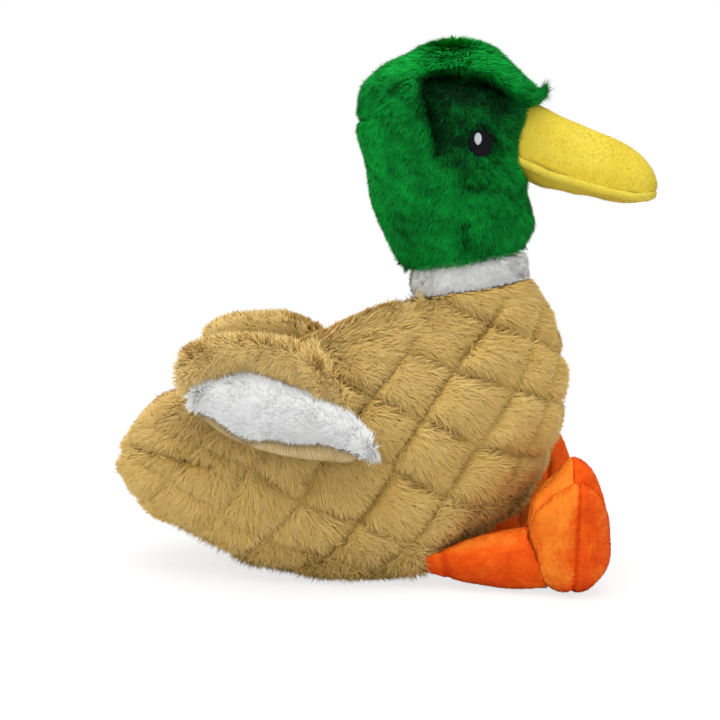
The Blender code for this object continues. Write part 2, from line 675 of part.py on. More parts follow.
def wing_parts(rows):
    middle, run, normal, seam, shares = wing_frame(rows)
    low = np.array([-seam[0][1], seam[0][2]])
    along = np.array([math.cos(WING_TILT), math.sin(WING_TILT)])
    across = np.array([math.sin(WING_TILT), -math.cos(WING_TILT)])
    table = np.array(WING_SHARES, float)

    def plane_point(place, share):
        """A point of the wing's plane, from its place in the side view."""
        row = spline_rows(table, place)
        flat = row[..., 0:2] + (row[..., 2:4] - row[..., 0:2]) * np.asarray(share)[..., None]
        forward_up = low + WING_LENGTH * (flat[..., :1] * along + flat[..., 1:] * across)
        y, z = -forward_up[..., 0], forward_up[..., 1]
        x = middle[0] - (normal[1] * (y - middle[1]) + normal[2] * (z - middle[2])) / normal[0]
        return np.stack([x, y, z], -1)

    sag = seam - plane_point(np.zeros_like(shares), shares)

    def base_grid(places, low_share, high_share, columns):
        mix = np.linspace(0.0, 1.0, columns)
        share = low_share[:, None] + (high_share - low_share)[:, None] * mix
        grid = plane_point(places[:, None] + 0 * share, share)
        weight = np.clip(1 - places / WING_SEAM_BLEND, 0, 1) ** 2
        bend = np.stack([np.interp(share, shares, sag[:, k]) for k in range(3)], -1)
        return grid + bend * weight[:, None, None], mix

    def layer(places, low_share, high_share, columns, base, edge, bulge):
        grid, mix = base_grid(places, low_share, high_share, columns)
        progress = (places - places[0]) / (places[-1] - places[0])
        crown_place = WING_CROWN_SHARES[0] + (WING_CROWN_SHARES[1] - WING_CROWN_SHARES[0]) * progress
        crown = np.sin(math.pi * crown_place) ** WING_ROUNDNESS
        arch = np.sin(math.pi * mix) ** WING_ROUNDNESS
        height = edge + bulge * crown[:, None] * arch
        solid = Solid()
        solid.plate(grid + normal * (base + height)[..., None], grid + normal * base)
        return solid

    end = len(table) - 1
    places = np.linspace(0.0, end, WING_STATIONS)
    zero, one = np.zeros_like(places), np.ones_like(places)
    lining = layer(places, zero, one * WING_LINING_SHARE, WING_COLUMNS, 0.0, WING_LINING, 0.0)
    split = spline_rows(table, places)[:, 4]
    split_gap = WING_SPLIT_GAP / WING_LENGTH
    base = WING_LINING + WING_LAYER_GAP
    fur = layer(places, split + split_gap, one, WING_COLUMNS, base, WING_EDGE, WING_FUR_BULGE)
    stripe_places = np.linspace(0.0, end * STRIPE_END_SHARE, WING_STATIONS)
    stripe_low = STRIPE_LOW_SHARES[0] + (STRIPE_LOW_SHARES[1] - STRIPE_LOW_SHARES[0]) * np.sin(
        math.pi * stripe_places / end
    )
    stripe_top = np.interp(stripe_places, places, split) - split_gap
    stripe = layer(stripe_places, stripe_low, stripe_top, WING_COLUMNS, base, WING_EDGE, WING_STRIPE_BULGE)
    return fur, stripe, lining, middle, run


def foot_part(centre):
    """A foot: front and back panels that meet at the edge, with three toes fanned upward."""
    turns = ring_turns(FOOT_SEGMENTS)
    turns = turns + TOE_CROWDING_SHARE * np.cos(turns)
    side, up = np.cos(turns), np.sin(turns)
    table = np.array(FOOT_SHARES, float)
    from_top = np.abs((turns - math.pi / 2 + math.pi) % (2 * math.pi) - math.pi) / math.pi
    reach = np.interp(from_top, table[:, 0], table[:, 1]) * FOOT_TOE
    web = np.interp(from_top, table[:, 0], table[:, 2])

    def panel(depth, share):
        height = depth * math.sqrt(1 - share**2)
        x = centre[0] + side * reach * share
        z = centre[2] + up * reach * share
        crease = 1 - web * share**2
        return np.stack([x, centre[1] + height * crease, z], -1)

    solid = Solid()
    rings = [panel(FOOT_BACK, share) for share in FOOT_RING_SHARES]
    rings += [panel(0.0, 1.0)]
    rings += [panel(-FOOT_FRONT, share) for share in reversed(FOOT_RING_SHARES)]
    starts = solid.rings(pressed_flat(np.array(rings)))
    solid.fan(starts[0], FOOT_SEGMENTS, centre + np.array([0.0, FOOT_BACK, 0.0]))
    solid.fan(starts[-1], FOOT_SEGMENTS, centre - np.array([0.0, FOOT_FRONT, 0.0]))
    return solid


def leg_parts(rows, body_tree):
    ring, turn = np.array(HIP_RING_SHARE), np.array(HIP_TURN)
    normal = outward(rows, ring, turn)
    hip = surface(rows, ring, turn) + normal * (GAP + HIP_ROUND)
    centre = np.array([hip[0] + FOOT_OUT, hip[1] - FOOT_REACH, FOOT_HEEL - SIT_DEPTH])
    foot = foot_part(centre)
    foot_tree = foot.tree()
    heading = unit(centre - hip)
    hinge = unit(np.cross(heading, normal))
    lift = np.cross(hinge, heading)
    length = np.linalg.norm(centre - hip)
    turns = ring_turns(LEG_SEGMENTS)
    table = np.array(LEG_SHARES, float)
    steps = np.linspace(0.0, 1.0, LEG_RINGS)
    half_width = np.interp(steps, table[:, 0], table[:, 1]) * LEG_RADIUS
    half_thick = np.interp(steps, table[:, 0], table[:, 2]) * LEG_RADIUS
    ankle = length - FOOT_BACK

    def rings(inset):
        grid = []
        for step, wide, thick in zip(steps, half_width, half_thick):
            shrink = 1 - min(inset, thick / 2) / thick
            slim = 1 - min(inset, wide / 2) / wide
            across = np.cos(turns)[:, None] * hinge * wide * slim
            upward = np.sin(turns)[:, None] * lift * thick * shrink
            grid.append(hip + heading * ankle * step + across + upward)
        return np.array(grid)

    def under_body(grid, gap):
        return pressed_flat(clear_of(body_tree, grid, gap))

    outer = under_body(rings(0.0), SEAT_GAP)
    outer[-1] = seat(foot_tree, outer[-1], heading, ANKLE_GAP)
    inner = under_body(rings(LEG_SKIN), SEAT_GAP + LEG_SKIN)[LEG_INNER_RING:]
    inner[-1] = seat(foot_tree, inner[-1], heading, ANKLE_GAP)
    skin = pouch(outer, outer[0].mean(0), inner, inner[0].mean(0))
    fill_depth = LEG_SKIN + FILL_GAP
    filled = under_body(rings(fill_depth), SEAT_GAP + fill_depth)[LEG_FILL_RING:]
    middle = filled[-1].mean(0)
    cap = [middle + (filled[-1] - middle) * share for share in CAP_SHARES]
    filled = np.concatenate([filled[:-1], seat(foot_tree, [filled[-1]] + cap, heading, ANKLE_GAP)])
    stuffing = plug(filled, filled[0].mean(0), seat(foot_tree, middle, heading, ANKLE_GAP))
    return skin, stuffing, foot, hip, hinge, centre


def material(name, colour, roughness):
    made = bpy.data.materials.new(name)
    made.use_nodes = True
    shader = made.node_tree.nodes["Principled BSDF"]
    shader.inputs["Base Color"].default_value = (*colour, 1.0)
    shader.inputs["Roughness"].default_value = roughness
    shader.inputs["Metallic"].default_value = 0.0
    made.diffuse_color = (*colour, 1.0)
    return made


def pivot_at(name, point, parent, parent_point):
    """An empty on a joint's axis."""
    empty = bpy.data.objects.new(name, None)
    bpy.context.scene.collection.objects.link(empty)
    empty.parent = parent
    empty.location = Vector(point) - Vector(parent_point)
    empty.empty_display_size = GAP
    return empty


def place(name, solid, colour, carrier, origin):
    """Makes a solid's object, carried by an empty that stands at the origin given."""
    mesh = bpy.data.meshes.new(name)
    points = [tuple(Vector(p) - Vector(origin)) for p in solid.points]
    mesh.from_pydata(points, [], solid.faces)
    shaped = bmesh.new()
    shaped.from_mesh(mesh)
    bmesh.ops.recalc_face_normals(shaped, faces=shaped.faces)
    shaped.to_mesh(mesh)
    shaped.free()
    mesh.shade_smooth()
    mesh.materials.append(colour)
    made = bpy.data.objects.new(name, mesh)
    bpy.context.scene.collection.objects.link(made)
    made.parent = carrier
    return made


def main():
    for old in list(bpy.data.objects):
        bpy.data.objects.remove(old, do_unlink=True)

    tan = material("tan_plush", (0.58, 0.38, 0.16), 0.95)
    green = material("green_plush", (0.01, 0.22, 0.04), 0.9)
    white = material("white_plush", (0.85, 0.85, 0.82), 0.95)
    yellow = material("yellow_minky", (0.95, 0.72, 0.10), 0.85)
    orange = material("orange_minky", (0.92, 0.20, 0.01), 0.85)
    beige = material("beige_knit", (0.72, 0.48, 0.27), 0.9)
    black = material("black_thread", (0.01, 0.01, 0.015), 0.6)
    pale = material("pale_thread", (0.75, 0.78, 0.80), 0.6)
    fibre = material("fibre_fill", (0.88, 0.87, 0.84), 1.0)

    rows, body_skin, body_stuffing, body_tree = body_parts()
    band, neck_stuffing, neck_base, neck_axis, nod_point, neck_top = neck_parts(rows)
    head_table, head_skin, head_stuffing = head_parts(neck_top, nod_point, neck_axis)
    head_tree = head_skin.tree()
    eye, glint = eye_parts(head_table, neck_top, head_tree)
    bill_upper, bill_lower, bill_stuffing = bill_parts(neck_top, head_tree)
    fur, stripe, lining, wing_point, wing_axis = wing_parts(rows)
    leg, leg_stuffing, foot, hip, hip_axis, ankle = leg_parts(rows, body_tree)

    origin = np.zeros(3)
    duck = pivot_at("duck", origin, None, origin)
    turn = pivot_at("head_turn", neck_base, duck, origin)
    nod = pivot_at("head_nod", nod_point, turn, neck_base)
    made = [
        place("body_skin", body_skin, tan, duck, origin),
        place("body_stuffing", body_stuffing, fibre, duck, origin),
        place("neck_band", band, white, turn, neck_base),
        place("neck_stuffing", neck_stuffing, fibre, turn, neck_base),
        place("head_skin", head_skin, green, nod, nod_point),
        place("head_stuffing", head_stuffing, fibre, nod, nod_point),
        place("bill_upper", bill_upper, yellow, nod, nod_point),
        place("bill_lower", bill_lower, yellow, nod, nod_point),
        place("bill_stuffing", bill_stuffing, fibre, nod, nod_point),
    ]
    print("head_turn", neck_base, neck_axis)
    print("head_nod", nod_point)
    for side, sign in (("left", 1.0), ("right", -1.0)):
        flip = np.array([sign, 1.0, 1.0])

        def sided(solid):
            return solid if sign > 0 else solid.mirrored()

        made.append(place("eye_" + side, sided(eye), black, nod, nod_point))
        made.append(place("glint_" + side, sided(glint), pale, nod, nod_point))
        wing_spot, hip_spot, ankle_spot = wing_point * flip, hip * flip, ankle * flip
        wing_pivot = pivot_at("wing_lift_" + side, wing_spot, duck, origin)
        made.append(place("wing_fur_" + side, sided(fur), tan, wing_pivot, wing_spot))
        made.append(place("wing_stripe_" + side, sided(stripe), white, wing_pivot, wing_spot))
        made.append(place("wing_lining_" + side, sided(lining), beige, wing_pivot, wing_spot))
        leg_pivot = pivot_at("leg_swing_" + side, hip_spot, duck, origin)
        made.append(place("leg_" + side, sided(leg), orange, leg_pivot, hip_spot))
        made.append(place("leg_stuffing_" + side, sided(leg_stuffing), fibre, leg_pivot, hip_spot))
        foot_pivot = pivot_at("foot_flex_" + side, ankle_spot, leg_pivot, hip_spot)
        made.append(place("foot_" + side, sided(foot), orange, foot_pivot, ankle_spot))
        print("wing", side, wing_spot, wing_axis * flip)
        print("leg", side, hip_spot, hip_axis * flip)
        print("foot", side, ankle_spot)

    bpy.context.view_layer.update()
    corners = np.array([made_one.matrix_world @ Vector(c) for made_one in made for c in made_one.bound_box])
    low, high = corners.min(0), corners.max(0)
    duck.location = (-(low[0] + high[0]) / 2, -(low[1] + high[1]) / 2, -low[2])
    bpy.context.view_layer.update()
    print("shift", tuple(duck.location), "size", high - low)


main()
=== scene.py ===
"""A plush mallard duck that sits with its legs stretched forward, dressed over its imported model.

Metres, +Z up. The duck faces -Y and its left side is at +X. Every cover is a surface of two
parameters, and its pile is strands that grow from that surface and are combed along it.
"""
import math

import bpy
import numpy as np
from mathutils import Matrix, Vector


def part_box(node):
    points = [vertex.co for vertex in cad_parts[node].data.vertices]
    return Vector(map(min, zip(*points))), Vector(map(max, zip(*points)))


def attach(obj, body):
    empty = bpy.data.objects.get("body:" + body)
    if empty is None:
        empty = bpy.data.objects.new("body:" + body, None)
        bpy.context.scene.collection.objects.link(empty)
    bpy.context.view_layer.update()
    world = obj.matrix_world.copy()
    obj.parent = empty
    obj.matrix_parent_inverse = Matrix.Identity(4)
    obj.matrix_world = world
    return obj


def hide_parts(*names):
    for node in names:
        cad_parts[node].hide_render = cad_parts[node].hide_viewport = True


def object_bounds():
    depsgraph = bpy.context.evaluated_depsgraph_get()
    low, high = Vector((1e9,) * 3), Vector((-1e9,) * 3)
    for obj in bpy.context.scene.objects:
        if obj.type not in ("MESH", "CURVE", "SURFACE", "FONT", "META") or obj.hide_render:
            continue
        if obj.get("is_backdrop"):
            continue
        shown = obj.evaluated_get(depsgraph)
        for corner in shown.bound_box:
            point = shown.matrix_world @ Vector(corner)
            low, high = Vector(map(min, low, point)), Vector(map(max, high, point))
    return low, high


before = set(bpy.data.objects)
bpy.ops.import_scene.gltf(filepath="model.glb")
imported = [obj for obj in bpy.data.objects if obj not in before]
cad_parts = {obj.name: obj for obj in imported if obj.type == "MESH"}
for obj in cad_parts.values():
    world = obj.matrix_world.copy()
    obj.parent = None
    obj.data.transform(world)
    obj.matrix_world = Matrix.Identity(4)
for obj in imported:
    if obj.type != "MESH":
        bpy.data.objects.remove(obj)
cad_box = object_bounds()

# The set: a white paper floor that runs on into a white world, three soft lamps, and the camera
# that sees the duck's right side from a little above its back.
MM = 0.001
CAMERA_SPOT = (-0.640, 0.0125, 0.166)
CAMERA_TILT = math.radians(6.04)
CAMERA_LENS, CAMERA_SENSOR = 68.1, 36.0
CAMERA_CLIP = (0.01, 50.0)
FLOOR_SIZE = 8.0
FLOOR_NEAR, FLOOR_FAR, FLOOR_GLOW = 0.18, 0.60, 0.70
PAPER_GREY, PAPER_SEEN = 0.80, 1.08
WORLD_LIT, WORLD_SEEN = 0.67, 1.0
LAMP_AIM = Vector((0.0, 0.0, 0.12))
LAMPS = (
    ("lamp_over", (-0.35, 0.10, 1.20), 1.3, 15.0),
    ("lamp_front", (-0.95, -0.85, 0.55), 1.0, 2.0),
    ("lamp_back", (-0.65, 1.05, 0.65), 1.0, 3.4),
)


def wire(material, start, output, end, socket):
    """Joins an output of one node to a socket of another."""
    material.node_tree.links.new(start.outputs[output], end.inputs[socket])


def node(material, kind, **settings):
    """A new node of a material's tree, with its settings."""
    made = material.node_tree.nodes.new(kind)
    for key, value in settings.items():
        setattr(made, key, value)
    return made


def sockets(made, **values):
    """Sets a node's sockets by name, with underscores for the blanks."""
    for key, value in values.items():
        made.inputs[key.replace("_", " ")].default_value = value
    return made


def finish(name, **values):
    """A new material and its shader, whose sockets are set by name."""
    made = bpy.data.materials.new(name)
    made.use_nodes = True
    return made, sockets(made.node_tree.nodes["Principled BSDF"], **values)


paper, paper_shader = finish("white_paper", Base_Color=(*[PAPER_GREY] * 3, 1.0), Roughness=0.9)
paper_glow = sockets(node(paper, "ShaderNodeEmission"), Color=(1, 1, 1, 1), Strength=PAPER_SEEN)
paper_path = node(paper, "ShaderNodeLightPath")
paper_place = node(paper, "ShaderNodeTexCoord")
paper_reach = node(paper, "ShaderNodeVectorMath", operation="LENGTH")
paper_fade = node(paper, "ShaderNodeMapRange")
sockets(paper_fade, From_Min=FLOOR_NEAR, From_Max=FLOOR_FAR, To_Min=FLOOR_GLOW)
paper_seen = node(paper, "ShaderNodeMath", operation="MULTIPLY")
paper_mix = node(paper, "ShaderNodeMixShader")
wire(paper, paper_place, "Object", paper_reach, 0)
wire(paper, paper_reach, "Value", paper_fade, "Value")
wire(paper, paper_fade, "Result", paper_seen, 0)
wire(paper, paper_path, "Is Camera Ray", paper_seen, 1)
wire(paper, paper_seen, "Value", paper_mix, 0)
wire(paper, paper_shader, "BSDF", paper_mix, 1)
wire(paper, paper_glow, "Emission", paper_mix, 2)
wire(paper, paper_mix, "Shader", paper.node_tree.nodes["Material Output"], "Surface")

floor_mesh = bpy.data.meshes.new("floor")
half_floor = FLOOR_SIZE / 2
corner_signs = ((-1, -1), (1, -1), (1, 1), (-1, 1))
floor_corners = [(x * half_floor, y * half_floor, 0) for x, y in corner_signs]
floor_mesh.from_pydata(floor_corners, [], [(0, 1, 2, 3)])
floor_mesh.materials.append(paper)
floor = bpy.data.objects.new("floor", floor_mesh)
bpy.context.scene.collection.objects.link(floor)
floor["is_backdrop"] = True

world = bpy.data.worlds.new("white_world")
bpy.context.scene.world = world
world.use_nodes = True
sky = world.node_tree.nodes["Background"]
sky_path = node(world, "ShaderNodeLightPath")
sky_strength = sockets(node(world, "ShaderNodeMapRange"), To_Min=WORLD_LIT, To_Max=WORLD_SEEN)
sockets(sky, Color=(1.0, 1.0, 1.0, 1.0))
wire(world, sky_path, "Is Camera Ray", sky_strength, "Value")
wire(world, sky_strength, "Result", sky, "Strength")

for lamp_name, lamp_spot, lamp_size, lamp_power in LAMPS:
    lamp = bpy.data.lights.new(lamp_name, "AREA")
    lamp.size, lamp.energy = lamp_size, lamp_power
    lamp_object = bpy.data.objects.new(lamp_name, lamp)
    lamp_object.location = lamp_spot
    aim = LAMP_AIM - Vector(lamp_spot)
    lamp_object.rotation_euler = aim.to_track_quat("-Z", "Y").to_euler()
    bpy.context.scene.collection.objects.link(lamp_object)

lens = bpy.data.cameras.new("camera")
lens.lens, lens.sensor_width = CAMERA_LENS, CAMERA_SENSOR
lens.clip_start, lens.clip_end = CAMERA_CLIP
camera = bpy.data.objects.new("camera", lens)
camera.location = CAMERA_SPOT
sight = Vector((math.cos(CAMERA_TILT), 0.0, -math.sin(CAMERA_TILT)))
camera.rotation_euler = sight.to_track_quat("-Z", "Y").to_euler()
bpy.context.scene.collection.objects.link(camera)
bpy.context.scene.camera = camera
bpy.context.scene.view_settings.view_transform = "Standard"

# The body: a tan plush cover, quilted in diamonds and stuffed with fibre. It is sewn from two side
# panels and narrows to the neck seam. The pile is combed out from the middle of each diamond and
# over its lower and front edges, so each diamond laps over the next like a scale.
BODY_LENGTH = 212.5 * MM
BODY_HEIGHT = 139.5 * MM
BODY_WIDTH = 112.0 * MM
SIT_DEPTH = 0.5 * MM
FLOOR_GAP = 0.25 * MM
BODY_GRID = (190, 230)
BODY_PILE = 8.8 * MM
BODY_INSET = 5.0 * MM
BODY_STRANDS = 304000
BODY_PIECES = 4
QUILT_DEPTH = 3.6 * MM
QUILT_GROOVE = 2.4 * MM
QUILT_PUFF = 3.4 * MM
QUILT_PITCHES = (25.2 * MM, 24.5 * MM)
QUILT_TILTS = (math.radians(-24.0), math.radians(55.0))
QUILT_PHASES = (0.187, 0.224)
QUILT_LOW, QUILT_FADE = 3.0 * MM, 9.0 * MM
QUILT_TAIL_ROWS, QUILT_NECK_GAP, QUILT_NECK_ROWS = 1.6, 0.3, 1.2
QUILT_WOBBLE, QUILT_WOBBLE_SIZE = 0.13, 60.0 * MM
PUFF_REACH = 11.0 * MM
PINCH = 0.25 * MM
TAIL_SEAM = ((-119.0, 64.0), (-112.0, 63.5), (-102.0, 63.0), (-88.0, 59.0), (-80.0, 58.0))
TAIL_SEAM_DEPTH, TAIL_SEAM_WIDTH = 4.6 * MM, 2.8 * MM
# Tan pile colours, root to tip, each a dark and a light tone: the roots are painted a little lighter
# and more orange than the middles, as painted light in the shade between the strands.
TAN_ROOT = ((0.62, 0.34, 0.065), (0.78, 0.49, 0.125))
TAN_MIDDLE = ((0.55, 0.335, 0.075), (0.71, 0.49, 0.142))
TAN_TIP = ((0.56, 0.375, 0.105), (0.77, 0.575, 0.25))

# Each row: forward and up shares of the ring's upper end, the same for its lower end, share of the
# half width, and how square the lower half of the ring is. The last ring is the neck seam.
BODY_SHARES = (
    (0.000, 0.385, 0.000, 0.385, 0.000, 2.2),
    (0.003, 0.428, 0.007, 0.345, 0.160, 2.2),
    (0.014, 0.460, 0.026, 0.312, 0.290, 2.2),
    (0.047, 0.526, 0.047, 0.264, 0.464, 2.3),
    (0.106, 0.600, 0.088, 0.199, 0.625, 2.4),
    (0.195, 0.654, 0.173, 0.143, 0.750, 2.5),
    (0.294, 0.718, 0.280, 0.087, 0.857, 2.6),
    (0.387, 0.786, 0.392, 0.032, 0.929, 2.7),
    (0.467, 0.846, 0.505, 0.000, 0.982, 2.8),
    (0.533, 0.890, 0.623, 0.000, 1.000, 2.8),
    (0.577, 0.907, 0.732, 0.043, 1.000, 2.7),
    (0.604, 0.915, 0.840, 0.158, 0.964, 2.5),
    (0.619, 0.920, 0.925, 0.290, 0.893, 2.3),
    (0.628, 0.922, 0.976, 0.432, 0.804, 2.2),
    (0.634, 0.924, 1.000, 0.637, 0.714, 2.1),
    (0.637, 0.925, 0.982, 0.778, 0.634, 2.0),
    (0.639, 0.926, 0.956, 0.897, 0.571, 2.0),
    (0.640, 0.927, 0.916, 0.998, 0.527, 2.0),
)


def through(table, places):
    """Rows of a table at fractional row numbers: a Catmull-Rom curve through them all."""
    table, places = np.asarray(table, float), np.asarray(places, float)
    row = np.clip(np.floor(places).astype(int), 0, len(table) - 2)
    t = (places - row)[..., None]
    padded = np.concatenate([2 * table[:1] - table[1:2], table, 2 * table[-1:] - table[-2:-1]])
    a, b, c, d = (padded[row + k] for k in range(4))
    curve = 2 * b + (c - a) * t + (2 * a - 5 * b + 4 * c - d) * t**2
    return 0.5 * (curve + (3 * b - a - 3 * c + d) * t**3)


def unit(vectors):
    """Vectors over their own length."""
    return vectors / np.maximum(np.linalg.norm(vectors, axis=-1, keepdims=True), 1e-12)


def dot(a, b):
    """Dot product over the last axis, which stays."""
    return (a * b).sum(-1, keepdims=True)


def ease(values):
    """Smooth step from 0 to 1."""
    values = np.clip(values, 0, 1)
    return values * values * (3 - 2 * values)


def fade_in(values, start, width):
    """Smooth step from 0 at the start to 1 a width further on; a negative width runs backwards."""
    return ease((values - start) / width)


def bell(values, middle, width):
    """1 at the middle and exp(-(distance / width)^2) away from it."""
    return np.exp(-(((values - middle) / width) ** 2))


def sized(shares, start, length, height, half_width):
    """Ring table in metres: y = start - share * length, z = start + share * height."""
    rows = np.array(shares, float)
    rows[:, (0, 2)] = start[0] - rows[:, (0, 2)] * length
    rows[:, (1, 3)] = start[1] + rows[:, (1, 3)] * height
    rows[:, 4] *= half_width
    return rows


def loft(rows, place, turn):
    """Ring middle + half ring * cos(turn)^p along it + half width * sin(turn)^p across, where p is
    2 / squareness past a quarter turn and 1 before."""
    place, turn = np.broadcast_arrays(np.asarray(place, float), np.asarray(turn, float))
    ring = through(rows, place)
    middle = (ring[..., 0:2] + ring[..., 2:4]) / 2
    half = (ring[..., 0:2] - ring[..., 2:4]) / 2
    lift, side = np.cos(turn), np.sin(turn)
    power = 2 / np.where(lift < 0, ring[..., 5], 2.0)
    lift = np.sign(lift) * np.abs(lift) ** power
    side = np.sign(side) * np.abs(side) ** power
    yz = middle + half * lift[..., None]
    return np.concatenate([(ring[..., 4] * side)[..., None], yz], -1)


def round_turns(count):
    """Even turns round a closed ring, as one row of a grid."""
    return (np.arange(count) * (2 * math.pi / count))[None, :]


def ring_middle(rows, place):
    """Middle of a loft's ring, on the duck's middle plane."""
    ring = through(rows, place)
    return np.concatenate([0 * ring[..., :1], (ring[..., 0:2] + ring[..., 2:4]) / 2], -1)


def walk(points):
    """Distance walked along a row of points, from 0 at the first."""
    return np.concatenate([[0.0], np.cumsum(np.linalg.norm(np.diff(points, axis=0), axis=1))])


def even(rows, first, last, count):
    """Places along a loft whose rings lie evenly apart on average over its two ends and its side."""
    fine = np.linspace(first, last, 600)
    ring = through(rows, fine)
    middle = np.concatenate([(ring[:, 0:2] + ring[:, 2:4]) / 2, ring[:, 4:5]], 1)
    walked = walk(ring[:, 0:2]) + walk(ring[:, 2:4]) + walk(middle)
    return np.interp(np.linspace(0.0, walked[-1], count), walked, fine)


def slopes(field):
    """Central differences of a grid's field along its rows and round its closed columns."""
    return np.gradient(field, axis=0), (np.roll(field, -1, 1) - np.roll(field, 1, 1)) / 2


def facing(points, outside):
    """Unit normals of a grid, cross product of its two slopes, on the side that outside points to."""
    along, around = slopes(points)
    normal = unit(np.cross(around, along))
    return normal * np.where(dot(normal, outside) < 0, -1.0, 1.0)


def waves(points, size, seed, terms=7):
    """Smooth noise from -1 to 1: a sum of sines along random directions, the given size apart."""
    rng = np.random.default_rng(seed)
    total = 0.0
    for _ in range(terms):
        heading = unit(rng.normal(size=3)) * (2 * math.pi / size) * rng.uniform(0.6, 1.5)
        total = total + np.sin(points @ heading + rng.uniform(0, 2 * math.pi))
    return total / math.sqrt(terms / 2) / 2


def sew(name, points, faces, uv=None, normals=None, tone=None):
    """A mesh object from arrays of points and of faces with three or four corners each. Pile takes
    its shading normals from the skin that it grows from, and cloth carries a tone at each point."""
    mesh = bpy.data.meshes.new(name)
    groups = [np.asarray(group, np.int32) for group in faces if len(group)]
    totals = np.concatenate([np.full(len(group), group.shape[1], np.int32) for group in groups])
    corners = np.concatenate([group.ravel() for group in groups])
    mesh.vertices.add(len(points))
    mesh.vertices.foreach_set("co", np.asarray(points, np.float32).ravel())
    mesh.loops.add(len(corners))
    mesh.loops.foreach_set("vertex_index", corners)
    mesh.polygons.add(len(totals))
    starts = np.concatenate([[0], np.cumsum(totals)[:-1]])
    mesh.polygons.foreach_set("loop_start", starts.astype(np.int32))
    mesh.polygons.foreach_set("use_smooth", np.full(len(totals), True))
    if uv is not None:
        mesh.uv_layers.new(name="OFBake").uv.foreach_set("vector", np.asarray(uv, np.float32).ravel())
    mesh.update(calc_edges=True)
    if normals is not None:
        shading = mesh.attributes.new("custom_normal", "FLOAT_VECTOR", "POINT")
        shading.data.foreach_set("vector", np.asarray(normals, np.float32).ravel())
        mesh.update()
    if tone is not None:
        tones = np.zeros(len(points), np.float32)
        tones[: np.size(tone)] = np.ravel(tone)
        mesh.attributes.new("tone", "FLOAT", "POINT").data.foreach_set("value", tones)
    made = bpy.data.objects.new(name, mesh)
    bpy.context.scene.collection.objects.link(made)
    return made


def closed(name, rings, tips=None, tone=None):
    """A closed piece from rings stacked between two tips, turned so that it faces outwards. The tips
    are the middles of the end rings where none are given."""
    count, size = rings.shape[:2]
    tips = (rings[0].mean(0), rings[-1].mean(0)) if tips is None else tips
    index = np.arange(count * size).reshape(count, size)
    after = np.roll(index, -1, 1)
    quads = np.stack([index[:-1], after[:-1], after[1:], index[1:]], -1).reshape(-1, 4)
    first = np.stack([after[0], index[0], np.full(size, count * size)], -1)
    last = np.stack([index[-1], after[-1], np.full(size, count * size + 1)], -1)
    points = np.concatenate([rings.reshape(-1, 3), np.reshape(tips, (2, 3))])
    a, b, c = (points[quads[:, corner]] - points.mean(0) for corner in range(3))
    if (np.cross(a, b) * c).sum() < 0:
        quads, first, last = quads[:, ::-1], first[:, ::-1], last[:, ::-1]
    return sew(name, points, (quads, np.concatenate([first, last])), tone=tone)


def lattice_random(cells, salt):
    """Three even random numbers from 0 to 1 for each whole-numbered cell: its mixed-up bits."""
    bits = cells.astype(np.uint64) * np.array([73856093, 19349663, 83492791], np.uint64)
    bits = bits[..., 0] ^ bits[..., 1] ^ bits[..., 2] ^ np.uint64(salt * 7919 + 1)
    found = []
    for step in range(3):
        bits = (bits ^ (bits >> np.uint64(15))) * np.uint64(2246822519 + 2 * step)
        bits = (bits ^ (bits >> np.uint64(13))) * np.uint64(3266489917)
        found.append((bits >> np.uint64(20) & np.uint64(0xFFFFFF)) / float(0x1000000))
    return np.stack(found, -1)


def locks(points, size, salt):
    """The nearest point of a shaken lattice, and three random numbers that its lock shares."""
    base = np.floor(points / size - 0.5).astype(np.int64)
    nearest = np.full(len(points), np.inf)
    centre, shared = np.zeros_like(points), np.zeros_like(points)
    for corner in np.ndindex(2, 2, 2):
        cell = base + np.array(corner) + 4096
        spot = (cell - 4096 + 0.15 + 0.7 * lattice_random(cell, salt)) * size
        reach = ((points - spot) ** 2).sum(1)
        closer = reach < nearest
        nearest = np.where(closer, reach, nearest)
        centre = np.where(closer[:, None], spot, centre)
        shared = np.where(closer[:, None], lattice_random(cell, salt + 31), shared)
    return centre, shared


def sow(skin, count, rng):
    """Random places spread evenly over a grid's area, with a reader for any field of the grid."""
    points = skin["points"]
    here, above, across = points[:-1], points[1:], np.roll(points, -1, 1)[:-1]
    area = np.linalg.norm(np.cross(across - here, above - here), axis=-1) * skin["thick"][:-1]
    walked = np.cumsum(area.ravel())
    cell = np.searchsorted(walked, rng.random(count) * walked[-1])
    row, column = np.unravel_index(np.minimum(cell, area.size - 1), area.shape)
    u, v = rng.random((2, count, 1))
    side = (column + 1) % points.shape[1]

    def read(field):
        low = field[row, column] * (1 - v) + field[row, side] * v
        high = field[row + 1, column] * (1 - v) + field[row + 1, side] * v
        return low * (1 - u) + high * u

    return read


# Shares of a strand: where it bends, how far its locks turn its comb, and how far they draw its
# middle and its tip. Then its roll, in degrees to either side, and how deep its root sits.
STRAND_BEND = 0.52
SMALL_TURN, LARGE_TURN = 0.7, 0.9
DRAWN_MIDDLE, DRAWN_TIP = 0.35, 0.9
STRAND_ROLL = 28.0
ROOT_DEPTH = 0.4 * MM


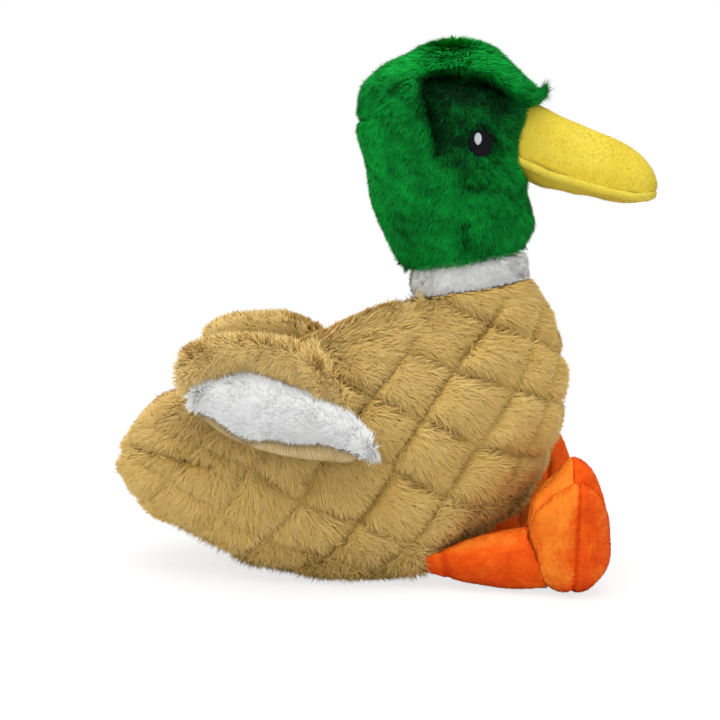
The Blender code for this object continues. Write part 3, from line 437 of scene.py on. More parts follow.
def pile(name, skin, count, seed, width=0.40, lay=(42, 70), lock=(2.0, 7.0), pull=(0.16, 0.10),
         parted=0.55, stray=0.2, tone=0.2, soft=0.9, low=None):
    """Strands of two thin triangles, root - middle - tip. The root half leans lay[0] degrees from the
    skin's normal along its comb and the tip half lay[1], less where the comb is weak. Small and large
    locks then part, each with a lean, a length and a tone of its own, and draw their tips together.
    The map holds a strand's tone across and the way from its root to its tip upwards."""
    rng = np.random.default_rng(seed)
    read = sow(skin, count, rng)
    root, normal, comb = read(skin["points"]), unit(read(skin["normals"])), read(skin["comb"])
    grow = unit(read(skin["grow"])) if "grow" in skin else normal
    length, shade = read(skin["length"][..., None]), read(skin["shade"][..., None])[:, 0]
    small, small_random = locks(root, lock[0] * MM, seed)
    large, large_random = locks(root, lock[1] * MM, seed + 5)
    small_random, large_random = (small_random - 0.5) * parted, (large_random - 0.5) * parted
    comb = comb + small_random * SMALL_TURN + large_random * LARGE_TURN
    comb = comb + rng.normal(size=root.shape) * stray
    comb = comb - grow * dot(comb, grow)
    comb = comb / np.maximum(np.linalg.norm(comb, axis=-1, keepdims=True), 0.5)
    length = length * (1 + 0.32 * small_random[:, :1]) * rng.uniform(0.72, 1.08, (count, 1))
    lean = np.radians(np.array(lay)) * (1 + 0.25 * large_random[:, 1:2])
    first = unit(grow * np.cos(lean[:, :1]) + comb * np.sin(lean[:, :1]))
    second = unit(grow * np.cos(lean[:, 1:]) + comb * np.sin(lean[:, 1:]))
    root = root - normal * ROOT_DEPTH
    middle = root + first * length * STRAND_BEND
    tip = middle + second * length * (1 - STRAND_BEND)
    for centre, strength in ((small, pull[0]), (large, pull[1])):
        drawn = centre - root
        drawn = drawn - normal * dot(drawn, normal)
        middle = middle + drawn * strength * DRAWN_MIDDLE
        tip = tip + drawn * strength * DRAWN_TIP
    heading = unit(tip - root)
    across = unit(np.cross(heading, normal))
    roll = np.radians(rng.uniform(-STRAND_ROLL, STRAND_ROLL, (count, 1)))
    across = across * np.cos(roll) + np.cross(heading, across) * np.sin(roll)
    across = across * np.where(dot(np.cross(across, heading), normal) < 0, -1.0, 1.0)
    half = across * width / 2 * MM * rng.uniform(0.75, 1.25, (count, 1))
    points = np.stack([root, middle + half, middle - half, tip], 1)
    blade = np.cross(across, heading)
    shine = unit(normal * soft + blade * (1 - soft) + small_random * 0.35)
    shine = np.repeat(shine[:, None], 4, 1)
    if low is not None:
        points[..., 2] = np.maximum(points[..., 2], low)
    shade = shade + tone * (rng.random(count) - 0.5) + tone * 1.3 * small_random[:, 2]
    shade = np.clip(shade + tone * 0.8 * large_random[:, 2], 0.02, 0.98)
    start = np.arange(len(points))[:, None] * 4
    faces = np.concatenate([start + (0, 1, 2), start + (2, 1, 3)], 1).reshape(-1, 3)
    drift = np.array([0, 0.01, -0.01, -0.01, 0.01, 0])
    way = np.array([0, 0.55, 0.55, 0.55, 0.55, 1])
    uv = np.stack([shade[:, None] + drift, np.broadcast_to(way, (len(points), 6))], -1)
    return sew(name, points.reshape(-1, 3), (faces,), uv, normals=shine.reshape(-1, 3))


def tone_ramp(material, *stops):
    """A colour ramp with the given places and colours."""
    made = node(material, "ShaderNodeValToRGB")
    for _ in stops[2:]:
        made.color_ramp.elements.new(0.5)
    for stop, (place, colour) in enumerate(stops):
        made.color_ramp.elements[stop].position = place
        made.color_ramp.elements[stop].color = (*colour, 1.0)
    return made


def pile_finish(name, root, middle, tip, roughness, specular, soft_back=False):
    """Pile: three colours from root to tip, each between a dark and a light tone, read off the map.
    A soft back keeps the skin's normal on strands that show their back: normal * (1 - 2 * back)."""
    made, shader = finish(name, Roughness=roughness, Specular_IOR_Level=specular)
    coordinates = node(made, "ShaderNodeUVMap", uv_map="OFBake")
    split = node(made, "ShaderNodeSeparateXYZ")
    mix = node(made, "ShaderNodeMix", data_type="RGBA")
    wire(made, coordinates, "UV", split, "Vector")
    for socket, tone in ((6, 0), (7, 1)):
        ramp = tone_ramp(made, (0.1, root[tone]), (0.5, middle[tone]), (0.95, tip[tone]))
        wire(made, split, "Y", ramp, "Fac")
        wire(made, ramp, "Color", mix, socket)
    wire(made, split, "X", mix, "Factor")
    wire(made, mix, 2, shader, "Base Color")
    if soft_back:
        seen = node(made, "ShaderNodeNewGeometry")
        turn = node(made, "ShaderNodeMath", operation="MULTIPLY_ADD")
        turn.inputs[1].default_value, turn.inputs[2].default_value = -2.0, 1.0
        kept = node(made, "ShaderNodeVectorMath", operation="SCALE")
        wire(made, seen, "Backfacing", turn, 0)
        wire(made, seen, "Normal", kept, 0)
        wire(made, turn, "Value", kept, "Scale")
        wire(made, kept, "Vector", shader, "Normal")
    return made


def backing_finish(name, dark, light, grain, roughness=0.95, specular=0.1):
    """Backing cloth under the pile: two close colours in a fine noise, with the same noise as bump."""
    made, shader = finish(name, Roughness=roughness, Specular_IOR_Level=specular)
    place = node(made, "ShaderNodeTexCoord")
    noise = sockets(node(made, "ShaderNodeTexNoise"), Scale=1 / grain, Detail=3.0)
    ramp = tone_ramp(made, (0.35, dark), (0.65, light))
    bump = sockets(node(made, "ShaderNodeBump"), Strength=0.6, Distance=0.3 * MM)
    wire(made, place, "Object", noise, "Vector")
    wire(made, noise, "Fac", ramp, "Fac")
    wire(made, ramp, "Color", shader, "Base Color")
    wire(made, noise, "Fac", bump, "Height")
    wire(made, bump, "Normal", shader, "Normal")
    return made


def dress(made, material, body, slot, replaced=(), fill=None):
    """Gives a piece its finish and its body, and hides the CAD nodes that it stands for. The slot is
    not used. The fill, the share of its room that its stuffing fills, is not used."""
    made.data.materials.append(material)
    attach(made, body)
    if replaced:
        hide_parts(*replaced)
    return made


def quilt(rows, place, turn):
    """Side panel unrolled: forward and up of each point, its distance from the nearest quilting line,
    and the way from the middle of its diamond in shares of half a diamond."""
    ring = through(rows, place)
    middle = (ring[..., 0:2] + ring[..., 2:4]) / 2
    half = (ring[..., 0:2] - ring[..., 2:4]) / 2
    reach = np.linalg.norm(half, axis=-1)
    quarter = math.pi / 2 * np.sqrt((reach**2 + ring[..., 4] ** 2) / 2)
    folded = math.pi - np.abs(math.pi - turn)
    rise = quarter * (1 - folded / (math.pi / 2)) / np.maximum(reach, 1e-9)
    flat = middle + half * rise[..., None]
    panel = np.stack([tail - flat[..., 0], flat[..., 1]], -1)
    across = np.array([[-math.sin(tilt), math.cos(tilt)] for tilt in QUILT_TILTS])
    pitches, phases = np.array(QUILT_PITCHES), np.array(QUILT_PHASES)
    sheet = np.stack([panel[..., 0], panel[..., 1], 0 * rise], -1)
    wobble = np.stack([waves(sheet, QUILT_WOBBLE_SIZE, seed) for seed in (1, 2)], -1)
    count = (panel @ across.T) / pitches - phases + QUILT_WOBBLE * wobble
    share = count - np.floor(count)
    near = (np.minimum(share, 1 - share) * pitches).min(-1)
    way = ((share - 0.5) * 2) @ np.linalg.inv(across).T
    return panel, near, way


def beside(places, line):
    """Distance of side-view points from a broken line, positive on the right of its run."""
    line = np.asarray(line, float) * MM
    start, run = line[:-1], np.diff(line, axis=0)
    reach = places[..., None, :] - start
    share = np.clip((reach * run).sum(-1) / (run**2).sum(-1), 0, 1)
    off = reach - run * share[..., None]
    distance = np.linalg.norm(off, axis=-1)
    side = np.sign(run[:, 1] * off[..., 0] - run[:, 0] * off[..., 1])
    nearest = distance.argmin(-1)[..., None]
    return (np.take_along_axis(side, nearest, -1) * np.take_along_axis(distance, nearest, -1))[..., 0]


def held(field, pinched):
    """A grid's field with each pinched row's value taken from the last open row before it."""
    rows = np.arange(len(pinched))[:, None] + 0 * pinched
    open_row = np.maximum.accumulate(np.where(pinched, 0, rows), axis=0)
    return field[open_row, np.arange(pinched.shape[1])[None, :]]


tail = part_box("body_skin")[1][1]
body_rows = sized(BODY_SHARES, (tail, -SIT_DEPTH), BODY_LENGTH, BODY_HEIGHT, BODY_WIDTH / 2)
body_last = len(body_rows) - 1
body_places, body_turns = np.broadcast_arrays(
    even(body_rows, 0.12, body_last, BODY_GRID[0])[:, None], round_turns(BODY_GRID[1])
)
body_plain = loft(body_rows, body_places, body_turns)
body_outside = body_plain - ring_middle(body_rows, body_places)
pinched = np.linalg.norm(slopes(body_plain)[0], axis=-1) < PINCH
body_normal = held(facing(body_plain, body_outside), pinched)
panel, line_distance, from_middle = quilt(body_rows, body_places, body_turns)
forward_share = np.clip(panel[..., 0] / BODY_LENGTH, 0, 1)
body_up = np.cos(body_turns)
body_rise = body_plain[..., 2]

# The quilting fades out at the tail, at the neck, over the floor, along the back and to the rear.
# Each pair is where a change starts and how wide it is; a negative width runs backwards.
BACK_FROM, FRONT_FROM = (0.45, 0.45), (0.22, 0.30)
BACK_WEAKER, REAR_SHARE = 0.8, 0.45
quilted = np.clip(body_places / QUILT_TAIL_ROWS, 0, 1)
quilted = quilted * np.clip((body_last - QUILT_NECK_GAP - body_places) / QUILT_NECK_ROWS, 0, 1)
quilted = quilted * np.clip((body_rise - QUILT_LOW) / QUILT_FADE, 0, 1)
quilted = quilted * np.clip(0.80 + 0.30 * waves(body_plain, 26 * MM, 12), 0, 1)
quilted = quilted * (1 - BACK_WEAKER * fade_in(body_up, *BACK_FROM))
quilted = quilted * (REAR_SHARE + (1 - REAR_SHARE) * fade_in(forward_share, *FRONT_FROM))
body_view = np.stack([-body_plain[..., 1], body_rise], -1)
tail_seam = bell(beside(body_view, TAIL_SEAM), 0, TAIL_SEAM_WIDTH)
groove = np.exp(-((line_distance / QUILT_GROOVE) ** 1.5)) * quilted
puff = (1 - np.clip(line_distance / PUFF_REACH, 0, 1)) ** 2 * quilted

# The stuffing swells the rump and the flanks, and leaves dents over the back and over the legs
RUMP_SWELL, FLANK_SWELL, BACK_DENT, LEG_DENT = 3.2 * MM, 3.6 * MM, 2.0 * MM, 3.0 * MM
BODY_LUMP, BODY_LUMP_SIZE = 0.9 * MM, 38.0 * MM
QUILT_SWELL = 1.2 * MM
BACKING_LOW = 1.2 * MM
RUMP_TO, FLANK_FROM, FLANK_TO = (0.50, -0.25), (0.22, 0.10), (0.76, -0.12)
SADDLE, LEG_AHEAD, LEG_RISE = (0.46, 0.10), (0.80, 0.07), (26.0 * MM, 14.0 * MM)
under_rump = fade_in(forward_share, *RUMP_TO) * np.clip(-body_up, 0, 1)
under_flank = fade_in(forward_share, *FLANK_FROM) * fade_in(forward_share, *FLANK_TO)
under_flank = under_flank * np.clip(-1.3 * body_up, 0, 1)
over_back = bell(forward_share, *SADDLE) * np.clip(body_up, 0, 1) ** 2
over_leg = bell(forward_share, *LEG_AHEAD) * bell(body_rise, *LEG_RISE)
body_depth = BODY_INSET - QUILT_SWELL * quilted + QUILT_DEPTH * groove + QUILT_PUFF * puff
body_depth = body_depth - waves(body_plain, BODY_LUMP_SIZE, 11) * BODY_LUMP
body_depth = body_depth - RUMP_SWELL * under_rump - FLANK_SWELL * under_flank
body_depth = body_depth + BACK_DENT * over_back + LEG_DENT * over_leg
body_depth = body_depth + TAIL_SEAM_DEPTH * tail_seam
body_points = body_plain - body_normal * body_depth[..., None]
body_points[..., 2] = np.maximum(body_points[..., 2], BACKING_LOW)

# Nap of the body: the comb is read on the unrolled panel and carried onto the surface. It runs
# forward in front, back at the rear and down at the sides, and weakly on the lowest fringe.
FLAT_SPREAD = 1e-10
SEAM_JUMP = 0.02
FORWARD_COMB, DOWN_COMB, DIAMOND_COMB, FRINGE_WEAKER = 0.75, 0.45, 0.18, 0.75
FRINGE_TO, FRINGE_FROM = (34.0 * MM, -24.0 * MM), (-2.0 * MM, 8.0 * MM)
CHEST_FRINGE_TO, CHEST_FROM = (56.0 * MM, -22.0 * MM), (0.62, 0.14)
panel_along, panel_around = slopes(panel)
panel_around = np.where(np.abs(panel_around) > SEAM_JUMP, 0, panel_around)
skin_along, skin_around = slopes(body_plain)
spread = panel_along[..., 0] * panel_around[..., 1] - panel_along[..., 1] * panel_around[..., 0]
spread = np.where(np.abs(spread) < FLAT_SPREAD, FLAT_SPREAD, spread)
forward_comb = FORWARD_COMB * np.clip((forward_share - 0.25) / 0.4, -1, 1)
upward_comb = -DOWN_COMB * (1 - fade_in(body_up, 0.7, 0.3))
heading = from_middle * DIAMOND_COMB * quilted[..., None] + np.stack([forward_comb, upward_comb], -1)
du = (heading[..., 0] * panel_around[..., 1] - heading[..., 1] * panel_around[..., 0]) / spread
dv = (panel_along[..., 0] * heading[..., 1] - panel_along[..., 1] * heading[..., 0]) / spread
fringe = fade_in(body_rise, *FRINGE_TO) * fade_in(body_rise, *FRINGE_FROM)
chest_fringe = fade_in(body_rise, *CHEST_FRINGE_TO) * fade_in(forward_share, *CHEST_FROM)
fringe = np.maximum(fringe, chest_fringe)
body_comb = unit(skin_along * du[..., None] + skin_around * dv[..., None])
body_facing = held(facing(body_points, body_outside), pinched)
body_length = BODY_PILE * (1 - 0.35 * groove) * (1 + 0.1 * fringe)
body_length = body_length * np.clip(0.62 + body_rise / (18 * MM), 0, 1)
# Painted light and shade in the body's pile tone: the top is painted lighter as painted light, and the
# quilting grooves and the tail seam are painted darker as painted shade. The waves are tone that
# differs at random.
body_shade = 0.48 + 0.16 * np.clip(body_up, 0, 1) - 0.36 * groove - 0.4 * tail_seam
body_shade = body_shade + 0.12 * waves(body_plain, 30 * MM, 21)
body_shade = body_shade + 0.14 * waves(body_plain, 10 * MM, 22)
body_skin = {
    "points": body_points,
    "normals": body_facing,
    "grow": body_normal * 0.7 + body_facing * 0.3,
    "comb": body_comb * (1 - FRINGE_WEAKER * fringe)[..., None],
    "length": body_length * (0.15 + 0.85 * fade_in(body_places, 0.1, 1.3)),
    "shade": body_shade,
    "thick": 1.0 - pinched,
}
tan_pile = pile_finish("tan_pile", TAN_ROOT, TAN_MIDDLE, TAN_TIP, 0.9, 0.08)
tan_backing = backing_finish("tan_backing", (0.38, 0.22, 0.05), (0.50, 0.31, 0.085), 2 * MM)
body_cover = closed("body_cover", body_points)
dress(body_cover, tan_backing, "body", "tan_plush", ("body_skin", "body_stuffing"), fill=0.9)
for piece in range(BODY_PIECES):
    strands = pile(f"body_pile_{piece + 1}", body_skin, BODY_STRANDS // BODY_PIECES, 100 + piece,
                   width=0.44, pull=(0.10, 0.04), parted=0.42, stray=0.30, tone=0.2, low=FLOOR_GAP)
    dress(strands, tan_pile, "body", "tan_plush")

# The neck band: a ring of white plush, sewn between the body's neck seam and the head. Its pile is
# short and fluffy, and it is combed down over the seam to the body.
NECK_HEIGHT = 12.0 * MM
NECK_DOME = 38.0 * MM
NECK_SWELL = 0.8 * MM
NECK_INSET = 6.0 * MM
NECK_PILE = 5.8 * MM
NECK_AHEAD = 1.0 * MM
NECK_GRID = (26, 140)
NECK_STRANDS = 42000
NECK_SLACK = 0.3 * MM
DOME_GAP = 0.5 * MM
# White pile colours, root to tip, each a dark and a light tone: the roots' dark tone is painted a
# little lighter than the middle's, as painted light in the shade between the strands.
WHITE_ROOT = ((0.74, 0.74, 0.70), (0.88, 0.88, 0.85))
WHITE_MIDDLE = ((0.71, 0.72, 0.68), (0.88, 0.89, 0.87))
WHITE_TIP = ((0.74, 0.75, 0.74), (0.88, 0.89, 0.89))


def turned(middle, axis, front, radii, heights, count):
    """Rings about an axis: middle + axis * height + spoke * radius."""
    turns = round_turns(count)[0]
    spokes = np.cos(turns)[:, None] * np.array([1.0, 0.0, 0.0]) + np.sin(turns)[:, None] * front
    heights, radii = np.asarray(heights)[:, None, None], np.asarray(radii)[:, None, None]
    return middle + axis * heights + spokes * radii


neck_ring = body_rows[-1]
neck_radius = neck_ring[4]
neck_base = np.array([0.0, (neck_ring[0] + neck_ring[2]) / 2, (neck_ring[1] + neck_ring[3]) / 2])
neck_front = unit(np.array([0.0, neck_ring[2] - neck_ring[0], neck_ring[3] - neck_ring[1]]))
neck_axis = np.cross(neck_front, (1.0, 0.0, 0.0))
neck_axis = neck_axis * np.sign(neck_axis[2])
neck_top = neck_base + neck_axis * NECK_HEIGHT
nod_height = NECK_HEIGHT - math.sqrt(NECK_DOME**2 - neck_radius**2)
nod_point = neck_base + neck_axis * nod_height

neck_rise = np.linspace(0.0, 1.0, NECK_GRID[0])
neck_side = neck_radius - NECK_INSET + NECK_SWELL * np.sin(math.pi * neck_rise)
neck_heights = neck_rise * (NECK_HEIGHT - 2 * NECK_SLACK) + NECK_SLACK
neck_points = turned(neck_base, neck_axis, neck_front, neck_side, neck_heights, NECK_GRID[1])
neck_points = neck_points + neck_front * NECK_AHEAD
lid_radii = neck_side[-1] * np.linspace(0.97, 0.1, 14)
lid_heights = nod_height + np.sqrt((NECK_DOME - DOME_GAP) ** 2 - lid_radii**2)
neck_lid = turned(neck_base, neck_axis, neck_front, lid_radii, lid_heights, NECK_GRID[1])
neck_spokes = neck_points - neck_base
neck_drift = 0.15 * waves(neck_points, 14 * MM, 31)[..., None]
neck_even = np.ones(neck_points.shape[:2])
neck_skin = {
    "points": neck_points,
    "normals": unit(neck_spokes - neck_axis * dot(neck_spokes, neck_axis)),
    "comb": -neck_axis + neck_drift * np.cross(neck_axis, neck_spokes) / neck_radius,
    "length": NECK_PILE * neck_even,
    "shade": 0.42 + 0.3 * waves(neck_points, 12 * MM, 32),
    "thick": neck_even * (neck_rise > 0.1)[:, None],
}
white_pile = pile_finish("white_pile", WHITE_ROOT, WHITE_MIDDLE, WHITE_TIP, 0.9, 0.05, soft_back=True)
white_backing = backing_finish("white_backing", (0.72, 0.72, 0.70), (0.80, 0.80, 0.79), 2 * MM)
dome_top = nod_height + NECK_DOME - DOME_GAP
neck_tips = (neck_base + neck_axis * NECK_SLACK, neck_base + neck_axis * dome_top)
neck_cover = closed("neck_cover", np.concatenate([neck_points, neck_lid]), neck_tips)
dress(neck_cover, white_backing, "neck", "white_plush", ("neck_band", "neck_stuffing"), fill=0.9)
neck_fur = pile("neck_pile", neck_skin, NECK_STRANDS, 200, width=0.40, lay=(22, 60),
                lock=(2.2, 6.0), pull=(0.12, 0.04), parted=0.6, stray=0.36, tone=0.28, soft=0.88)
dress(neck_fur, white_pile, "neck", "white_plush")

# The head: a green plush cover of two side panels and a top panel that runs from the brow to the
# back of the head. The top panel bulges over the face like a visor, and the side panels fold in
# behind the eyes. It is stuffed hard with fibre.
HEAD_LENGTH = 87.5 * MM
HEAD_HEIGHT = 103.0 * MM
HEAD_WIDTH = 76.0 * MM
HEAD_GRID = (180, 200)
HEAD_INSET = 3.3 * MM
HEAD_PILE = 5.6 * MM
HEAD_STRANDS = 160000
HEAD_PIECES = 2
HEAD_SOCKET = 38.4 * MM
RECESS_DEPTH = 10.0 * MM
RECESS_REACH = 15.0 * MM
RIM_SWELL = 1.6 * MM
BROW_DENT, CROWN_DENT, GUSSET_DENT, NAPE_SWELL = 3.2 * MM, 1.8 * MM, 2.4 * MM, 1.8 * MM
HEAD_LUMP, HEAD_LUMP_SIZE = 0.8 * MM, 26.0 * MM

# Places on the head, forward of the origin or up from the floor: where each change starts and how
# wide it is, or the middle and the width of a bell.
FACE_FROM, EYES_FROM = (182.0 * MM, 20.0 * MM), (200.0 * MM, 22.0 * MM)
UNDER_RIM_FROM, RIM_WIDTH = (-1.2 * MM, 3.4 * MM), 7.0 * MM
BROW_AHEAD, BROW_RISE = (40.0 * MM, 18.0 * MM), (208.0 * MM, 12.0 * MM)
NAPE_AHEAD, NAPE_RISE = (12.0 * MM, -22.0 * MM), (225.0 * MM, -20.0 * MM)
CROWN_AHEAD, CROWN_RISE = (13.0 * MM, 13.0 * MM), (224.0 * MM, 8.0 * MM)
GUSSET_RISE = (211.0 * MM, 1.8 * MM)
CROWN_FROM, CROWN_EDGE = (220.0 * MM, 12.0 * MM), (5.0 * MM, -4.0 * MM)
HEM_ROWS, HEM_AHEAD = (1.3, -1.3), (56.0 * MM, -26.0 * MM)
SHADOW_FROM, SHADOW_REACH = (-1.0 * MM, 3.0 * MM), 30.0 * MM
TIP_AHEAD, TIP_RISE, TIP_WIDTH = (74.0 * MM, 5.0 * MM), (223.0 * MM, 4.5 * MM), 7.0 * MM
VISOR_FROM = (34.0 * MM, 26.0 * MM)
ONWARD_FROM, FALLEN_FROM = (8.0 * MM, 40.0 * MM), (2.0 * MM, 22.0 * MM)
BEAK_AHEAD, BEAK_RISE = (50.0 * MM, 10.0 * MM), (178.0 * MM, 8.0 * MM)
PARTING_AHEAD, PARTING_WIDTH = (28.0 * MM, 14.0 * MM), 16.0 * MM
CHEEK_AHEAD, CHEEK_RISE = (35.0 * MM, 22.0 * MM), (172.0 * MM, 22.0 * MM)
# Green pile colours, root to tip, each a dark and a light tone: the near-black roots are painted shade
# down among the strands, and the dark tones are the painted shadow under the visor.
GREEN_ROOT = ((0.000, 0.008, 0.002), (0.001, 0.085, 0.009))
GREEN_MIDDLE = ((0.001, 0.014, 0.004), (0.002, 0.270, 0.030))
GREEN_TIP = ((0.001, 0.020, 0.005), (0.004, 0.450, 0.054))

# Each row: forward and up shares of the ring's back end, then of its front end, seen from the
# middle of the neck band's top, share of the half width, and how square the front half is.
HEAD_SHARES = (
    (-0.238, -0.052, 0.311, 0.039, 0.711, 2.0),
    (-0.361, 0.017, 0.349, 0.107, 0.842, 2.0),
    (-0.435, 0.139, 0.365, 0.167, 0.921, 2.1),
    (-0.473, 0.245, 0.349, 0.252, 0.961, 2.1),
    (-0.506, 0.358, 0.317, 0.353, 0.987, 2.2),
    (-0.533, 0.473, 0.279, 0.450, 1.000, 2.2),
    (-0.560, 0.582, 0.299, 0.550, 1.000, 2.2),
    (-0.570, 0.686, 0.343, 0.650, 0.974, 2.2),
    (-0.549, 0.774, 0.429, 0.723, 0.921, 2.2),
    (-0.473, 0.855, 0.407, 0.783, 0.816, 2.2),
    (-0.355, 0.924, 0.311, 0.860, 0.658, 2.1),
    (-0.210, 0.975, 0.182, 0.943, 0.447, 2.0),
    (-0.017, 0.997, -0.017, 0.997, 0.000, 2.0),
)

# Lines in the side view, in millimetres forward of the origin and up from the floor: the visor's
# rim with the fold behind the face, then seams and creases with their depth and width.
RIM_LINE = (
    (20.4, 186.0), (19.3, 195.7), (17.3, 204.7), (15.2, 214.6), (14.0, 222.7), (14.8, 229.0),
    (18.0, 231.8), (25.0, 232.2), (32.5, 231.7), (44.6, 229.5), (54.1, 224.1), (61.8, 217.5),
    (66.0, 213.5),
)
HEAD_CREASES = (
    (((-14.0, 210.0), (-4.0, 221.0), (5.0, 227.5), (16.3, 230.0)), 2.2, 2.2),
    (((40.0, 188.5), (44.0, 187.5)), 1.2, 1.6),
    (((34.0, 180.5), (40.0, 179.0), (50.0, 179.5)), 1.8, 2.4),
    (((35.2, 163.0), (35.6, 151.0)), 2.2, 2.4),
    (((2.0, 168.0), (12.0, 163.0)), 1.0, 3.5),
)

head_rows = sized(HEAD_SHARES, neck_top[1:], HEAD_LENGTH, HEAD_HEIGHT, HEAD_WIDTH / 2)
head_last = len(head_rows) - 1
head_places, head_turns = np.broadcast_arrays(
    even(head_rows, 0.03, head_last - 0.12, HEAD_GRID[0])[:, None], round_turns(HEAD_GRID[1])
)
head_plain = loft(head_rows, head_places, head_turns)
head_away = unit(head_plain - ring_middle(head_rows, head_places))
head_away = head_away + np.array([0.0, 0.0, 0.5]) * (head_places[..., None] > head_last - 2)
head_normal = facing(head_plain, head_away)
head_ahead, head_rise = -head_plain[..., 1], head_plain[..., 2]
head_view = np.stack([head_ahead, head_rise], -1)
under_rim = beside(head_view, RIM_LINE)
sideways = np.abs(np.sin(head_turns)) ** 0.8

# The side panels sink in under the visor's rim, which swells over them, and less below the eyes
recess_fade = fade_in(head_rise, *FACE_FROM) * sideways
over_eyes = fade_in(head_rise, *EYES_FROM)
recess_reach = RECESS_REACH * (0.6 + 0.4 * over_eyes)
recess = np.exp(-((np.maximum(under_rim, 0) / recess_reach) ** 1.5)) * recess_fade
recess = recess * fade_in(under_rim, *UNDER_RIM_FROM) * (0.7 + 0.3 * over_eyes)
rim_swell = bell(np.minimum(under_rim + 1.5 * MM, 0), 0, RIM_WIDTH) * (under_rim < 0) * recess_fade
rim_swell = rim_swell * (0.25 + 0.75 * over_eyes)
head_crease = sum(
    depth * MM * bell(beside(head_view, line), 0, width * MM) for line, depth, width in HEAD_CREASES
) * sideways
brow_front = fade_in(head_ahead, *BROW_AHEAD) * fade_in(head_rise, *BROW_RISE)
nape = fade_in(head_ahead, *NAPE_AHEAD) * fade_in(head_rise, *NAPE_RISE)
crown_flat = bell(head_ahead, *CROWN_AHEAD) * fade_in(head_rise, *CROWN_RISE)
gusset_end = bell(head_rise, *GUSSET_RISE) * np.clip(np.cos(head_turns), 0, 1) ** 2
head_depth = HEAD_INSET - RIM_SWELL * rim_swell + head_crease - NAPE_SWELL * nape
head_depth = head_depth + BROW_DENT * brow_front + CROWN_DENT * crown_flat
head_depth = head_depth + GUSSET_DENT * gusset_end
head_depth = head_depth - waves(head_plain, HEAD_LUMP_SIZE, 41) * HEAD_LUMP
head_points = head_plain - head_normal * head_depth[..., None]
head_points[..., 0] -= np.clip(head_points[..., 0] / RECESS_DEPTH, -1, 1) * RECESS_DEPTH * recess
collar = head_points - nod_point
collar_reach = np.maximum(np.linalg.norm(collar, axis=-1, keepdims=True), HEAD_SOCKET)
head_points = nod_point + unit(collar) * collar_reach

# Nap of the head: down the sides, back over the crown, forward on the visor, and up in a tuft at
# the brow's tip. The crown parts a little to both sides.
crown = fade_in(head_rise, *CROWN_FROM) * fade_in(under_rim, *CROWN_EDGE)
hem = fade_in(head_places, *HEM_ROWS) * fade_in(head_ahead, *HEM_AHEAD)
in_shadow = bell(np.maximum(under_rim, 0), 0, SHADOW_REACH) * fade_in(under_rim, *SHADOW_FROM)
in_shadow = in_shadow * recess_fade
brow_tip = bell(head_ahead, *TIP_AHEAD) * bell(head_rise, *TIP_RISE)
brow_tip = brow_tip * bell(head_plain[..., 0], 0, TIP_WIDTH)
visor = fade_in(head_ahead, *VISOR_FROM)
beak_root = fade_in(head_ahead, *BEAK_AHEAD) * fade_in(head_rise, *BEAK_RISE) * (1 - crown)
onward = fade_in(head_ahead, *ONWARD_FROM)
fallen = fade_in(head_ahead, *FALLEN_FROM)
parting = bell(head_ahead, *PARTING_AHEAD) * crown
cheek = bell(head_ahead, *CHEEK_AHEAD) * bell(head_rise, *CHEEK_RISE)
comb_aside = 0.8 * parting * np.clip(head_plain[..., 0] / PARTING_WIDTH, -1, 1)
comb_ahead = (-0.35 + 0.85 * visor + 0.8 * beak_root) * (1 - crown)
comb_ahead = comb_ahead + (2.0 * onward - 1.1) * crown + 1.5 * brow_tip
comb_up = (0.75 * beak_root - 1.0) * (1 - crown)
comb_up = comb_up + (0.45 - 1.05 * fallen + 0.3 * onward) * crown + 1.6 * brow_tip

# Where the eyes sit on the head: the pile gets short towards them and stops at their edge
EYE_RING = 5.4
EYE_TURN = math.radians(118.7)
EYE_SHIFT = (0.0, 1.2 * MM, 1.6 * MM)
EYE_CLEAR, EYE_SHORN = 5.8 * MM, (5.5 * MM, 6.0 * MM)
eye_spot = loft(head_rows, EYE_RING, EYE_TURN) + EYE_SHIFT
round_eye = np.abs(head_plain) * (1, 0, 0) + head_plain * (0, 1, 1) - eye_spot
round_eye = np.linalg.norm(round_eye, axis=-1)
head_length = HEAD_PILE * (1 - 0.25 * recess) * (1 + 0.9 * brow_tip + 0.7 * hem + 0.3 * beak_root)
# Painted light and shade in the head's pile tone: the visor's rim, the nape, the crown, the parting on
# the crown and the brow's tuft are painted lighter as painted light, and the shadow under the visor and
# the creases are painted darker as painted shadow and shade. The cheek is a little darker, and the
# waves are tone that differs at random.
head_shade = 0.56 + 0.16 * rim_swell + 0.32 * nape + 0.06 * crown + 0.40 * parting - 0.06 * cheek
head_shade = head_shade + 0.2 * brow_tip - 0.58 * in_shadow - 0.16 * head_crease / MM
head_shade = head_shade + 0.16 * waves(head_plain, 20 * MM, 42)
head_shade = head_shade + 0.16 * waves(head_plain, 8 * MM, 43)
head_facing = facing(head_points, head_away)
head_skin = {
    "points": head_points,
    "normals": head_facing,
    "grow": head_normal * 0.6 + head_facing * 0.4,
    "comb": np.stack([comb_aside, -comb_ahead, comb_up], -1),
    "length": head_length * (0.35 + 0.65 * fade_in(round_eye, *EYE_SHORN)),
    "shade": head_shade,
    "thick": (round_eye > EYE_CLEAR) * 1.0,
}
green_pile = pile_finish("green_pile", GREEN_ROOT, GREEN_MIDDLE, GREEN_TIP, 0.75, 0.06)
